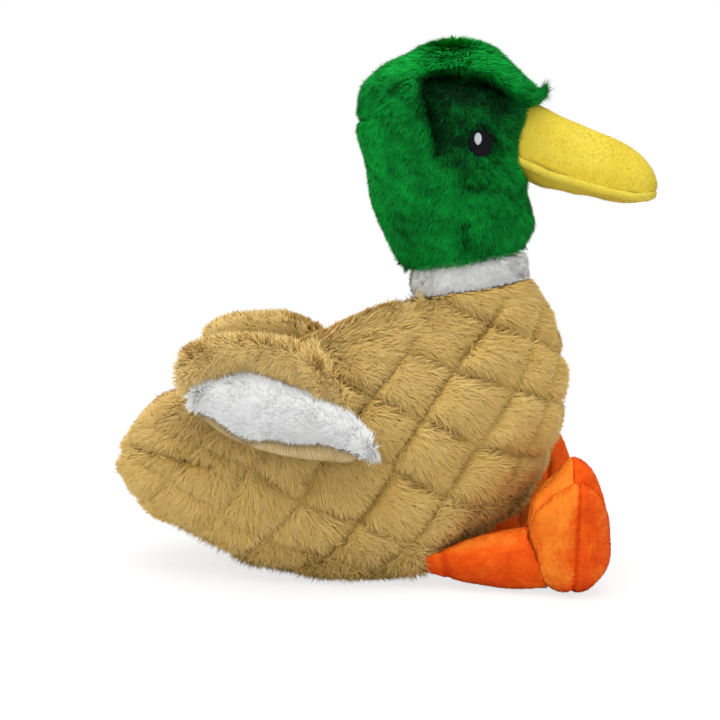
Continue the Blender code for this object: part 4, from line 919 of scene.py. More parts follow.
# The backing under the green pile is near black: painted shade between the strands.
green_backing = backing_finish("green_backing", (0.0, 0.02, 0.005), (0.001, 0.04, 0.01), 2 * MM)
socket_edge = unit(head_points[0] - nod_point)
socket_rings = [
    nod_point + unit(socket_edge * share + neck_axis * (1 - share)) * HEAD_SOCKET
    for share in (0.1, 0.3, 0.55, 0.8)
]
head_tips = (nod_point + neck_axis * HEAD_SOCKET, head_points[-1].mean(0) + (0, 0, 0.3 * MM))
head_cover = closed("head_cover", np.concatenate([socket_rings, head_points]), head_tips)
dress(head_cover, green_backing, "head", "green_plush", ("head_skin", "head_stuffing"), fill=0.9)
for piece in range(HEAD_PIECES):
    strands = pile(f"head_pile_{piece + 1}", head_skin, HEAD_STRANDS // HEAD_PIECES, 300 + piece,
                   width=0.36, lay=(30, 60), lock=(1.9, 6.0), pull=(0.14, 0.05), parted=0.6,
                   stray=0.25, tone=0.36, soft=0.88)
    dress(strands, green_pile, "head", "green_plush")

# The eyes: embroidered ovals of black satin stitch with a raised satin border, and on each a small
# white highlight, stitched through the head's pile.
EYE_WIDTH = 12.0 * MM
EYE_HEIGHT = 13.8 * MM
EYE_RISE = 0.7 * MM
EYE_SINK = 4.0 * MM
EYE_SET = 2.2 * MM
EYE_BORDER = 0.16
EYE_TILT = 1.2
GLINT_WIDTH = 3.6 * MM
GLINT_HEIGHT = 5.4 * MM
GLINT_RISE = 0.45 * MM
GLINT_SINK, GLINT_SEAT = 0.9 * MM, 0.1 * MM
GLINT_TILT, GLINT_POINT = 0.2, 0.3
GLINT_BACK = 2.4 * MM
GLINT_UP = 1.3 * MM
THREAD, THREAD_GRAIN = 0.5 * MM, 0.7 * MM
BLACK_TONES = ((0.003, 0.003, 0.005), (0.007, 0.007, 0.009))
PALE_TONES = ((0.38, 0.42, 0.44), (0.52, 0.56, 0.58))
STITCH_GRID = (34, 120)
SIDES = (("left", np.array([1.0, 1.0, 1.0])), ("right", np.array([-1.0, 1.0, 1.0])))


def outward(rows, place, turn, step=0.01):
    """Outward normal of a loft: cross product of small steps along and round it."""
    place, turn = np.broadcast_arrays(np.asarray(place, float), np.asarray(turn, float))
    along = loft(rows, place + step, turn) - loft(rows, place - step, turn)
    around = loft(rows, place, turn + step) - loft(rows, place, turn - step)
    normal = unit(np.cross(around, along))
    away = loft(rows, place, turn) - ring_middle(rows, place)
    return normal * np.where(dot(normal, away) < 0, -1.0, 1.0)


def upright_on(normal):
    """The level direction to the rear and the upright one, both across a normal."""
    level = unit(np.cross((0.0, 0.0, 1.0), normal))
    level = level * np.sign(level[1])
    upright = np.cross(normal, level)
    return level, upright * np.sign(upright[2])


def stitched(name, spot, normal, width, height, rise, sink, tilt, point=0.0):
    """Satin-stitched oval: x = r cos(turn) * width / 2, y = r sin(turn) * height / 2, and over them a
    low dome with a rounded ridge for each thread; the threads of the border run across it."""
    level, upright = upright_on(normal)
    r, turn = np.linspace(0.02, 1.0, STITCH_GRID[0])[:, None], round_turns(STITCH_GRID[1])
    narrow = 1 - point * np.clip(-np.sin(turn), 0, 1) ** 2 * r
    x, y = r * np.cos(turn) * width / 2 * narrow, r * np.sin(turn) * height / 2
    border = fade_in(r, 1 - EYE_BORDER, 0.05)
    filling = (x * math.cos(tilt) + y * math.sin(tilt)) / THREAD
    around = np.round((turn * (width + height) / 4 / THREAD).max()) * turn / (2 * math.pi)
    ridge = np.abs(np.sin(math.pi * np.where(border > 0.5, around, filling)))
    dome = rise * (1 - r**3) ** 0.5 + rise * 0.25 * bell(r, 0.93, 0.06)
    dome = dome - (x**2 + y**2) / (60 * MM)
    lift = dome + 0.16 * THREAD * ridge**0.7 * np.clip((1 - r) / 0.05, 0, 1)
    points = spot + level * x[..., None] + upright * y[..., None] + normal * lift[..., None]
    sunk = points[-1] - normal * sink * np.array([0.35, 1.0])[:, None, None]
    tips = (spot + normal * rise, spot - normal * sink)
    return closed(name, np.concatenate([points, sunk]), tips)


eye_normal = outward(head_rows, EYE_RING, EYE_TURN)
eye_level, eye_upright = upright_on(eye_normal)
eye_base = eye_spot - eye_normal * EYE_SET
glint_base = eye_base + eye_normal * (EYE_RISE - GLINT_SEAT)
glint_base = glint_base + eye_level * GLINT_BACK + eye_upright * GLINT_UP
black_thread = backing_finish("black_thread", *BLACK_TONES, THREAD_GRAIN, 0.45, 0.06)
pale_thread = backing_finish("pale_thread", *PALE_TONES, THREAD_GRAIN, 0.5, 0.2)
for side, flip in SIDES:
    eye = stitched("eye_" + side + "_satin", eye_base * flip, eye_normal * flip, EYE_WIDTH, EYE_HEIGHT,
                   EYE_RISE, EYE_SINK, EYE_TILT * flip[0])
    dress(eye, black_thread, "head", "black_thread", ("eye_" + side,))
    glint = stitched("glint_" + side + "_satin", glint_base * flip, eye_normal * flip, GLINT_WIDTH,
                     GLINT_HEIGHT, GLINT_RISE, GLINT_SINK, GLINT_TILT, GLINT_POINT)
    dress(glint, pale_thread, "head", "pale_thread", ("glint_" + side,))

# The bill: an upper and a lower panel of yellow minky, stuffed flat and sewn to the front of the
# head. The lower panel is rolled out round the edge as a soft lip, and the top panel puckers there.
BILL_LENGTH = 64.0 * MM
BILL_DEPTH = 45.0 * MM
BILL_WIDTH = 43.0 * MM
BILL_ROOT_SHARES = (0.299, 0.530)
BILL_FIRST_PLACE = -0.45
BILL_GRID = (110, 120)
LIP_RADIUS = 2.3 * MM
LIP_DROP = 1.9 * MM
LIP_INSET = 1.3 * MM
LIP_ARC = (100, -125)
SEAM_REACH, WRINKLE, BILL_LUMP, LIP_LUMP = 4.0 * MM, 0.3 * MM, 0.5 * MM, 0.25 * MM
NAP_INSET = 0.8 * MM
NAP_LENGTH = 1.1 * MM
NAP_ROOT_ROWS = 12
MINKY_GRAIN = 0.6 * MM
BILL_NAP = 22000
YELLOWS = ((0.61, 0.435, 0.030), (0.63, 0.49, 0.044), (0.66, 0.54, 0.068))
YELLOW_PATCH = 14.0 * MM
# Tones of the bill's cloth: the hidden top darker, the lip lighter, the underside painted darker as
# painted shade, and the top panel painted darker along its puckered seam as painted shade.
TOP_TONE, LIP_TONE, UNDER_PAINTED_SHADE, PUCKER_PAINTED_SHADE = -0.10, 0.14, -0.10, -0.16

# Each row: forward and up shares of the bill's top, of its edge and of its underside, seen from
# the bill's root on the head, and the share of the half width.
BILL_SHARES = (
    (0.114, 0.399, -0.011, -0.187, -0.042, -0.334, 0.79),
    (0.309, 0.267, 0.177, -0.305, 0.155, -0.458, 0.86),
    (0.442, 0.178, 0.333, -0.378, 0.348, -0.508, 0.93),
    (0.645, 0.063, 0.583, -0.474, 0.536, -0.560, 1.00),
    (0.817, -0.075, 0.770, -0.528, 0.723, -0.616, 0.977),
    (0.911, -0.222, 0.885, -0.517, 0.864, -0.618, 0.837),
    (0.965, -0.361, 0.945, -0.507, 0.930, -0.600, 0.490),
    (0.975, -0.428, 0.965, -0.502, 0.955, -0.560, 0.200),
    (0.978, -0.450, 0.970, -0.500, 0.962, -0.545, 0.000),
)


def cloth_finish(name, dark, middle, light, sheen, patch, grain):
    """Short-pile cloth or knit: three tones by the tone at each point, which carries painted light and
    shade on the bill, legs, feet and knit ribs; soft patches and a fine grain, with the grain as bump."""
    made, shader = finish(name, Roughness=0.8, Specular_IOR_Level=0.1, Sheen_Weight=sheen)
    sockets(shader, Sheen_Roughness=0.4, Sheen_Tint=(*light, 1.0))
    place = node(made, "ShaderNodeTexCoord")
    own = node(made, "ShaderNodeAttribute", attribute_name="tone")
    patches = sockets(node(made, "ShaderNodeTexNoise"), Scale=1 / patch, Detail=3.0, Roughness=0.5)
    fine = sockets(node(made, "ShaderNodeTexNoise"), Scale=1 / grain, Detail=2.0)
    blend = sockets(node(made, "ShaderNodeMix"), Factor=0.4)
    total = node(made, "ShaderNodeMath", operation="ADD")
    ramp = tone_ramp(made, (0.28, dark), (0.5, middle), (0.72, light))
    bump = sockets(node(made, "ShaderNodeBump"), Strength=0.5, Distance=0.3 * MM)
    wire(made, place, "Object", patches, "Vector")
    wire(made, place, "Object", fine, "Vector")
    wire(made, patches, "Fac", blend, 2)
    wire(made, fine, "Fac", blend, 3)
    wire(made, blend, 0, total, 0)
    wire(made, own, "Fac", total, 1)
    wire(made, total, "Value", ramp, "Fac")
    wire(made, ramp, "Color", shader, "Base Color")
    wire(made, fine, "Fac", bump, "Height")
    wire(made, bump, "Normal", shader, "Normal")
    return made


def nap_finish(name, dark, middle, light):
    """Finish of a short nap over cloth of the same three tones."""
    return pile_finish(name, (dark, middle), (dark, light), (middle, light), 0.85, 0.05)


def nap(name, points, outside, comb, tone, count, seed):
    """Short nap over a closed grid: the same strands as pile, a millimetre long."""
    even_field = np.ones(points.shape[:2])
    root_rows = fade_in(np.arange(len(points)), 0, NAP_ROOT_ROWS)[:, None]
    skin = {
        "points": points,
        "normals": facing(points, outside),
        "comb": comb + 0 * points,
        "length": NAP_LENGTH * (0.25 + 0.75 * root_rows) * even_field,
        "shade": 0.5 + 1.4 * tone + 0.12 * waves(points, 9 * MM, seed),
        "thick": even_field,
    }
    return pile(name, skin, count, seed, width=0.3, lay=(25, 58), lock=(1.2, 4.0), pull=(0.2, 0.05),
                stray=0.35, tone=0.14, soft=0.9, low=FLOOR_GAP)


bill_root = neck_top[1:] + np.array(BILL_ROOT_SHARES) * (-HEAD_LENGTH, HEAD_HEIGHT)
bill_table = np.array(BILL_SHARES, float)
bill_table[:, 0:6:2] = bill_root[0] - bill_table[:, 0:6:2] * BILL_LENGTH
bill_table[:, 1:6:2] = bill_root[1] + bill_table[:, 1:6:2] * BILL_DEPTH
bill_table[:, 6] *= BILL_WIDTH / 2
bill_fine = np.linspace(BILL_FIRST_PLACE, len(bill_table) - 1, 400)
bill_walk = walk(through(bill_table, bill_fine))
bill_places = np.interp(np.linspace(0, bill_walk[-1], BILL_GRID[0]), bill_walk, bill_fine)
bill_ring = through(bill_table, bill_places)
bill_half = np.maximum(bill_ring[:, 6], 0.0)
bill_edge = np.concatenate([bill_half[:, None], bill_ring[:, 2:4]], 1)
to_top = np.concatenate([0 * bill_half[:, None], bill_ring[:, 0:2] - bill_ring[:, 2:4]], 1)
to_low = np.concatenate([0 * bill_half[:, None], bill_ring[:, 4:6] - bill_ring[:, 2:4]], 1)
out_y, out_x = np.gradient(bill_half), -np.gradient(bill_ring[:, 2])
edge_out = unit(np.stack([out_x, out_y, 0 * out_x], 1))

bill_turn = round_turns(BILL_GRID[1])
bill_side, bill_over = np.cos(bill_turn), np.sin(bill_turn)
bill_side = np.sign(bill_side) * np.abs(bill_side) ** 0.9
over = np.clip(bill_over, 0, 1)[..., None] ** 0.9
beneath = np.clip(-bill_over, 0, 1)[..., None] ** 0.5
bill_upper = bill_edge[:, None] * (0, 1, 1) + (bill_side * bill_half[:, None])[..., None] * (1, 0, 0)
bill_upper = bill_upper + to_top[:, None] * over - unit(to_top)[:, None] * beneath * 0.5 * MM
bill_core = bill_edge[:, None] * (0, 1, 1) + to_top[:, None] * 0.3
bill_outside = unit(bill_upper - bill_core)
seam_near = bell(over[..., 0] * np.linalg.norm(to_top, axis=-1)[:, None], 0, SEAM_REACH)
bill_wrinkles = seam_near * waves(bill_upper * (0.3, 1, 1), 7 * MM, 51) * WRINKLE
bill_wrinkles = bill_wrinkles + waves(bill_upper, 22 * MM, 52) * BILL_LUMP
bill_upper = bill_upper + bill_outside * (bill_wrinkles * (bill_over > 0) - NAP_INSET)[..., None]

# Half a section of the lower panel: its hidden top, the rolled lip, and the underside
lip_middle = bill_edge - edge_out * (LIP_INSET + NAP_INSET) + unit(to_low) * LIP_DROP
lip_middle[:, 0] = np.maximum(lip_middle[:, 0], 0.0)
lip_turn = np.radians(np.linspace(*LIP_ARC, 40))[None, :, None]
lip_out = edge_out[:, None] * np.cos(lip_turn) - unit(to_low)[:, None] * np.sin(lip_turn)
lip = lip_middle[:, None] + lip_out * LIP_RADIUS
lip = lip + edge_out[:, None] * (waves(lip * (0.3, 1, 1), 8 * MM, 54) * LIP_LUMP)[..., None]
lip[..., 0] = np.maximum(lip[..., 0], 0.0)
top_share = np.linspace(0, 1, 14)[None, :-1, None]
hidden_top = (bill_edge * (0, 1, 1))[:, None] * (1 - top_share) + lip[:, :1] * top_share
under_turn = np.radians(np.linspace(0, 90, 30))[None, 1:, None]
deepest = (bill_edge * (0, 1, 1) + to_low)[:, None]
underside = lip[:, -1:] * (1, 0, 0) * np.cos(under_turn) ** 0.8
underside = underside + lip[:, -1:] * (0, 1, 1) * (1 - np.sin(under_turn))
underside = underside + deepest * np.sin(under_turn)
underside = underside + unit(to_low)[:, None] * (waves(underside, 16 * MM, 53) * BILL_LUMP)[..., None]
bill_right = np.concatenate([hidden_top, lip, underside], 1)
bill_lower = np.concatenate([bill_right, bill_right[:, -2:0:-1] * (-1, 1, 1)], 1)
# The underside is painted darker: painted shade beneath the bill.
lower_tone = np.concatenate([
    np.full(hidden_top.shape[1], TOP_TONE), np.full(lip.shape[1], LIP_TONE),
    np.full(underside.shape[1], UNDER_PAINTED_SHADE),
])
lower_tone = np.concatenate([lower_tone, lower_tone[-2:0:-1]])[None, :] + 0 * bill_lower[..., 0]
# The top panel is painted darker along the seam: painted shade in its puckers.
upper_tone = 0.03 + PUCKER_PAINTED_SHADE * seam_near * (bill_over > 0) + 0 * bill_upper[..., 0]

yellow_minky = cloth_finish("yellow_minky", *YELLOWS, 0.1, YELLOW_PATCH, MINKY_GRAIN)
yellow_nap = nap_finish("yellow_nap", *YELLOWS)
bill_comb = np.array([0.0, -1.0, -0.4])
for name, shape, tone, nodes in (
    ("bill_upper", bill_upper, upper_tone, ("bill_upper", "bill_stuffing")),
    ("bill_lower", bill_lower, lower_tone, ("bill_lower",)),
):
    cover = closed(name + "_cover", shape, tone=tone)
    dress(cover, yellow_minky, "head", "yellow_minky", nodes, fill=0.8)
    outside = shape - shape.mean(1, keepdims=True)
    strands = nap(name + "_nap", shape, outside, bill_comb, tone, BILL_NAP // 2, 61 + len(nodes))
    dress(strands, yellow_nap, "head", "yellow_minky")

# The wings: on each side a plump band of tan plush over a patch of white plush, both sewn on a
# lining of beige ribbed knit. The lining shows below the patch, and the wing hangs from a seam.
WING_LENGTH = 93.0 * MM
WING_TILT = math.radians(157.3)
WING_SPREAD = math.radians(14.0)
BAND_BULGE, PATCH_BULGE = 11.0 * MM, 5.0 * MM
WING_EDGE = 2.4 * MM
WING_BASE = 2.3 * MM
WING_SEAM_RINGS = (8.95, 7.5)
WING_SEAM_TURNS = (math.radians(90.0), math.radians(27.0))
WING_SEAM_GAP = 0.5 * MM
WING_GRID = (84, 104)
BAND_INSET, BAND_PILE, BAND_STRANDS = 3.4 * MM, 7.6 * MM, 50000
PATCH_INSET, PATCH_PILE, PATCH_STRANDS = 2.8 * MM, 5.4 * MM, 40000
PATCH_END, PATCH_BACK, BAND_BACK = 0.845, 1.8 * MM, -0.4 * MM
PATCH_LOW_START, PATCH_LOW_END = 0.16, 0.17
LINING_TOP, LINING_FRONT, LINING_BACK = 0.80, 1.5 * MM, 0.1 * MM
LINING_GRID = (340, 30)
RIB_PITCH = 1.25 * MM
RIB_HEIGHT = 0.30 * MM
# The knit's tones, dark, middle and light; the dark one is painted shade in the grooves between the
# ribs.
KNIT_TONES = ((0.24, 0.155, 0.062), (0.37, 0.27, 0.13), (0.46, 0.35, 0.19))

# How far up the wing the tan band reaches, on the left and on the right, where it is pushed down
BAND_TOPS = (1.00, 0.89)

# Each row: place along the wing and how far up the white patch's wavy lower hem lies there.
PATCH_HEM = (
    (0.0, 0.02), (0.5, 0.03), (1.0, 0.09), (1.5, 0.16), (2.2, 0.22), (2.8, 0.23), (3.5, 0.205),
    (4.6, 0.20), (5.6, 0.14), (6.4, 0.175), (7.4, 0.205), (8.6, 0.11), (10.0, 0.10),
)

# Each row: along and across shares of the lower edge, the same for the upper edge, and how far up
# the white patch goes. The wing's length runs from the seam's low end to the tip.
WING_SHARES = (
    (0.000, 0.000, 0.484, 0.301, 0.22),
    (0.043, -0.038, 0.511, 0.306, 0.46),
    (0.086, -0.075, 0.538, 0.314, 0.50),
    (0.204, -0.115, 0.591, 0.317, 0.58),
    (0.333, -0.156, 0.656, 0.310, 0.60),
    (0.473, -0.183, 0.720, 0.285, 0.64),
    (0.586, -0.194, 0.782, 0.258, 0.65),
    (0.699, -0.190, 0.860, 0.226, 0.56),
    (0.817, -0.161, 0.935, 0.172, 0.45),
    (0.903, -0.113, 0.984, 0.108, 0.30),
    (0.978, -0.040, 1.000, 0.040, 0.16),
)

seam_shares = np.linspace(0.0, 1.0, 41)
seam_places = WING_SEAM_RINGS[0] + (WING_SEAM_RINGS[1] - WING_SEAM_RINGS[0]) * seam_shares
seam_turns = WING_SEAM_TURNS[0] + (WING_SEAM_TURNS[1] - WING_SEAM_TURNS[0]) * seam_shares
wing_seam = loft(body_rows, seam_places, seam_turns)
wing_seam = wing_seam + outward(body_rows, seam_places, seam_turns) * WING_SEAM_GAP
seam_middle = np.mean(WING_SEAM_RINGS), np.mean(WING_SEAM_TURNS)
seam_normal = outward(body_rows, *seam_middle)
wing_middle = loft(body_rows, *seam_middle) + seam_normal * WING_SEAM_GAP
wing_run = wing_seam[0] - wing_seam[-1]
wing_run = unit(wing_run - seam_normal * (wing_run @ seam_normal))
wing_back = np.cross(wing_run, seam_normal)
wing_back = wing_back * np.sign(wing_back[1])
wing_normal = seam_normal * math.cos(WING_SPREAD) - wing_back * math.sin(WING_SPREAD)
wing_along = np.array([math.cos(WING_TILT), math.sin(WING_TILT)])
wing_across = np.array([math.sin(WING_TILT), -math.cos(WING_TILT)])
wing_table = np.array(WING_SHARES, float)
wing_end = len(wing_table) - 1


def wing_plane(place, share):
    """Point of the wing's plane, from the side view; near the seam it bends to follow the body."""
    row = through(wing_table, place)
    flat = row[..., 0:2] + (row[..., 2:4] - row[..., 0:2]) * np.asarray(share)[..., None]
    low = np.array([-wing_seam[0][1], wing_seam[0][2]])
    forward_up = low + WING_LENGTH * (flat[..., :1] * wing_along + flat[..., 1:] * wing_across)
    y, z = -forward_up[..., 0], forward_up[..., 1]
    off = wing_normal[1] * (y - wing_middle[1]) + wing_normal[2] * (z - wing_middle[2])
    return np.stack([wing_middle[0] - off / wing_normal[0], y, z], -1)


wing_sag = wing_seam - wing_plane(0 * seam_shares, seam_shares)


def wing_cushion(places, low, high, columns, front, back, bulge=0.0, inset=0.0):
    """Closed sections across the wing: share = middle + half * cos(turn), and a height off the plane
    that follows sin(pi * m)^0.7 over the front, with m the way across, and sinks to the back."""
    turn = round_turns(columns)
    share = (low + high)[:, None] / 2 + (high - low)[:, None] / 2 * np.cos(turn)
    place = places[:, None] + 0 * share
    grid = wing_plane(place, share)
    sag = np.stack([np.interp(share, seam_shares, wing_sag[:, axis]) for axis in range(3)], -1)
    grid = grid + sag * (np.clip(1 - place / 2.0, 0, 1) ** 2)[..., None]
    progress = (places - places[0]) / (places[-1] - places[0])
    swell = np.sin(math.pi * (0.12 + 0.80 * progress))[:, None] ** 0.7
    arch = np.sin(math.pi * (1 - np.cos(turn)) / 2) ** 0.7
    cushion = np.maximum(WING_EDGE + bulge * swell * arch - inset, 0.0) * (bulge > 0)
    before = front + cushion * np.clip(np.sin(turn) * 2, 0, 1) ** 0.5
    behind = front - (front - back) * np.abs(np.sin(turn)) ** 0.4
    height = np.where(np.sin(turn) > 0, before, behind)
    return grid + wing_normal * height[..., None], grid, turn, share


def wing_skin(shape, grid, pile_length, spread, thick, shade, lean):
    """Nap of a wing piece: combed from its middle line to its edges and toward the tip. On its front
    it grows more like a flat piece, and its shading normals lean the given way."""
    along = unit(np.gradient(grid, axis=0))
    normals = facing(shape, shape - shape.mean(1, keepdims=True))
    ahead = wing_normal * np.clip(dot(normals, wing_normal), 0, 1)
    return {
        "points": shape,
        "normals": unit(normals + lean),
        "grow": normals + 0.6 * ahead,
        "comb": along * 0.45 + np.array([0.0, 0.0, 1.0]) * spread[..., None],
        "length": pile_length + 0 * spread,
        "shade": shade + 0.2 * waves(shape, 16 * MM, 71),
        "thick": thick * 1.0,
    }


def flipped(skin, flip):
    """The same nap on the other side: its points and directions mirrored, its numbers kept."""
    return {key: field * flip if field.ndim == 3 else field for key, field in skin.items()}


split_places = np.linspace(0.0, wing_end, 60)
split_shares = through(wing_table, split_places)[:, 4]
patch_places = np.linspace(0.15, wing_end * PATCH_END, WING_GRID[0])
patch_low = np.interp(patch_places, *np.transpose(PATCH_HEM))
patch_high = np.interp(patch_places, split_places, split_shares) - 0.04
patch_high = patch_high - PATCH_LOW_START * fade_in(patch_places, 1.6, -1.6)
patch_high = patch_high - PATCH_LOW_END * fade_in(patch_places, 7.6, 1.0)
patch_high = np.maximum(patch_high, patch_low + 0.05)
patch, patch_plane, patch_turn, patch_share = wing_cushion(
    patch_places, patch_low, patch_high, WING_GRID[1], WING_BASE, PATCH_BACK, PATCH_BULGE, PATCH_INSET
)
patch_spread = (patch_share - (patch_low + patch_high)[:, None] / 2) * 2.0
patch_front = np.sin(patch_turn) + 0 * patch_share > -0.1
patch_length = PATCH_PILE * (1 + 0.4 * fade_in(patch_share, patch_high[:, None] - 0.12, 0.12))
white_wing_skin = wing_skin(
    patch, patch_plane, patch_length, patch_spread, patch_front, 0.55, 0.9 * wing_normal
)

# The knit lining's ribs run across the wing, evenly apart along its middle
lining_places = np.linspace(0.0, wing_end, LINING_GRID[0])
lining_low = 0.052 + 0.02 * fade_in(lining_places, 2.5, -1.0)
lining, lining_plane, lining_turn, _ = wing_cushion(
    lining_places, lining_low, LINING_TOP + 0 * lining_places, LINING_GRID[1], LINING_FRONT, LINING_BACK
)
rib_turn = math.pi * walk(lining_plane[:, LINING_GRID[1] // 2]) / RIB_PITCH
rib = np.abs(np.sin(rib_turn))[:, None] ** 0.8 * np.clip(np.abs(np.sin(lining_turn)) * 3, 0, 1)
# The grooves between the ribs are painted darker and the crests lighter: painted shade and light on the
# ribs.
rib_painted_shade = 0.34 * rib - 0.2
lining = lining + wing_normal * (RIB_HEIGHT * rib * np.sign(np.sin(lining_turn)))[..., None]
beige_knit = cloth_finish("beige_knit", *KNIT_TONES, 0.1, 9 * MM, 0.5 * MM)

band_places = np.linspace(0.12, wing_end - 0.30, WING_GRID[0])
band_low = np.interp(band_places, split_places, split_shares) + 0.06
band_low = band_low + 0.012 * np.sin(9 * band_places) + 0.01 * np.sin(23 * band_places)
for (side, flip), band_top in zip(SIDES, BAND_TOPS):
    band, band_plane, band_turn, band_share = wing_cushion(
        band_places, band_low, band_top + 0 * band_places, WING_GRID[1], WING_BASE, BAND_BACK,
        BAND_BULGE, BAND_INSET,
    )
    band_spread = (band_share - band_low[:, None] - 0.20) * 2.4
    band_front = (np.sin(band_turn) > -0.2) | (band_share > 0.50)
    # The band's pile gets a much lighter tone than the body's: painted light on the wing band.
    tan_wing_skin = wing_skin(
        band, band_plane, BAND_PILE, band_spread, band_front, 0.88, np.array([0.0, 0.0, 0.4])
    )
    for name, shape, tone, material, slot, nodes, fill in (
        ("wing_band_", band, None, tan_backing, "tan_plush", "wing_fur_", 0.7),
        ("wing_patch_", patch, None, white_backing, "white_plush", "wing_stripe_", 0.7),
        ("wing_lining_", lining, rib_painted_shade, beige_knit, "beige_knit", "wing_lining_", None),
    ):
        cover = closed(name + side, shape * flip, tone=tone)
        dress(cover, material, side + "_wing", slot, (nodes + side,), fill)
    strands = pile("wing_band_pile_" + side, flipped(tan_wing_skin, flip), BAND_STRANDS, 400,
                   width=0.44, lay=(28, 58), pull=(0.12, 0.05), parted=0.45, stray=0.26)
    dress(strands, tan_pile, side + "_wing", "tan_plush")
    strands = pile("wing_patch_pile_" + side, flipped(white_wing_skin, flip), PATCH_STRANDS, 410,
                   width=0.36, lay=(35, 66), lock=(1.8, 5.0), pull=(0.08, 0.03), parted=0.35, stray=0.2,
                   tone=0.1, soft=0.95)
    dress(strands, white_pile, side + "_wing", "white_plush")

# The feet: each is two panels of orange minky, cut as three webbed toes, sewn round the edge and
# stuffed. They stand upright on the heel, with the sole forward.
FOOT_REACH = 62.3 * MM
FOOT_OUT = 7.0 * MM
FOOT_HEEL = 19.0 * MM
FOOT_TOE = 42.5 * MM
FOOT_BACK = 18.8 * MM
FOOT_FRONT = 17.5 * MM
FOOT_AHEAD = 2.8 * MM
HEEL_FULLNESS, POLE_DIP = 1.06, 0.6 * MM
PUCKERS, PUCKER_DEPTH, PUCKER_REACH = 46, 0.3 * MM, 3.5 * MM
FOOT_GRID = (90, 190)
FOOT_NAP = 14000
TOE_CROWDING_SHARE = 0.45
SEAM_DEPTH, SEAM_WIDTH = 1.1 * MM, 1.0 * MM
HIP_PLACE = 9.5
HIP_TURN = math.radians(142.4)
HIP_LIFT = 1.9 * MM
ORANGES = ((0.60, 0.045, 0.0012), (0.76, 0.085, 0.003), (0.82, 0.220, 0.018))
ORANGE_PATCH = 8.0 * MM

# Each row: turn from the top as a share of half a turn, reach from the foot's middle as a share of
# the long toe, and how far the web between two toes is drawn in.
FOOT_SHARES = (
    (0.000, 1.000, 0.00),
    (0.045, 0.960, 0.05),
    (0.095, 0.820, 0.45),
    (0.145, 0.890, 0.12),
    (0.195, 0.945, 0.00),
    (0.235, 0.890, 0.00),
    (0.300, 0.700, 0.00),
    (0.380, 0.560, 0.00),
    (0.500, 0.494, 0.00),
    (0.700, 0.462, 0.00),
    (1.000, 0.447, 0.00),
)

hip_normal = outward(body_rows, HIP_PLACE, HIP_TURN)
hip = loft(body_rows, HIP_PLACE, HIP_TURN) + hip_normal * HIP_LIFT
ankle = np.array([hip[0] + FOOT_OUT, hip[1] - FOOT_REACH, FOOT_HEEL - SIT_DEPTH])
foot_table = np.array(FOOT_SHARES, float)


def foot_reach(angle):
    """Reach of the foot's outline and depth of its webs at an angle from the foot's right."""
    from_top = np.abs((angle - math.pi / 2 + math.pi) % (2 * math.pi) - math.pi) / math.pi
    place = np.interp(from_top, foot_table[:, 0], np.arange(len(foot_table)))
    row = through(foot_table, place)
    return row[..., 1] * FOOT_TOE, np.clip(row[..., 2], 0, 1)


rim_turn = round_turns(FOOT_GRID[1])
rim_turn = rim_turn + TOE_CROWDING_SHARE * np.cos(rim_turn)
tilt = np.linspace(0.02, math.pi - 0.02, FOOT_GRID[0])[:, None]
toe_reach, web = foot_reach(rim_turn)
rim_share = np.sin(tilt) ** 0.92
depth_share = np.sign(np.cos(tilt)) * np.abs(np.cos(tilt)) ** 0.95
rearward = depth_share > 0
panel_depth = np.where(rearward, FOOT_BACK, FOOT_FRONT)
from_seam = np.abs(tilt - math.pi / 2) * (toe_reach + panel_depth) / 2
foot_x = np.cos(rim_turn) * toe_reach * rim_share
foot_z = np.sin(rim_turn) * toe_reach * rim_share
foot_y = panel_depth * depth_share * (1 - web * np.where(rearward, 0.25, 1.0) * rim_share**2)
foot_y = foot_y * np.where(rearward, HEEL_FULLNESS - 0.75 * fade_in(foot_z, 18 * MM, 24 * MM), 1.0)
foot_middle = ankle - np.array([0.0, FOOT_AHEAD, 0.0])
foot_plain = foot_middle + np.stack([foot_x, foot_y, foot_z], -1)
foot_outside = foot_plain - foot_middle
foot_normal = facing(foot_plain, foot_outside)
foot_seam = SEAM_DEPTH * bell(from_seam, 0, SEAM_WIDTH)
foot_pucker = PUCKER_DEPTH * np.sin(rim_turn * PUCKERS + 2 * np.sin(rim_turn * 5))
foot_pucker = foot_pucker * bell(from_seam, 0, PUCKER_REACH)
foot_lumps = waves(foot_plain, 17 * MM, 81) * 0.6 * MM
foot = foot_plain + foot_normal * (foot_pucker + foot_lumps - foot_seam - 0.5 * MM)[..., None]
foot[..., 2] = np.maximum(foot[..., 2], FLOOR_GAP)
# Painted light and shade on the foot: the rear-facing panel is painted lighter as a painted sheen, and
# the seam groove is painted darker as painted shade.
foot_sheen_and_seam_shade = 0.24 * fade_in(foot_normal[..., 1], -0.25, 0.7) - 0.04 - 0.2 * foot_seam / SEAM_DEPTH
foot_ends = (FOOT_BACK * HEEL_FULLNESS - POLE_DIP, POLE_DIP - FOOT_FRONT)
foot_poles = np.array([(0.0, end, 0.0) for end in foot_ends])
foot_comb = np.array([0.3, 0.0, 0.8])
orange_minky = cloth_finish("orange_minky", *ORANGES, 0.1, ORANGE_PATCH, MINKY_GRAIN)
orange_nap = nap_finish("orange_nap", *ORANGES)
for side, flip in SIDES:
    cover = closed("foot_cover_" + side, foot * flip, foot_middle * flip + foot_poles, foot_sheen_and_seam_shade)
    dress(cover, orange_minky, side + "_foot", "orange_minky", ("foot_" + side,), fill=0.85)
    strands = nap("foot_nap_" + side, foot * flip, foot_outside * flip, foot_comb * flip, foot_sheen_and_seam_shade,
                  FOOT_NAP, 82)
    dress(strands, orange_nap, side + "_foot", "orange_minky")

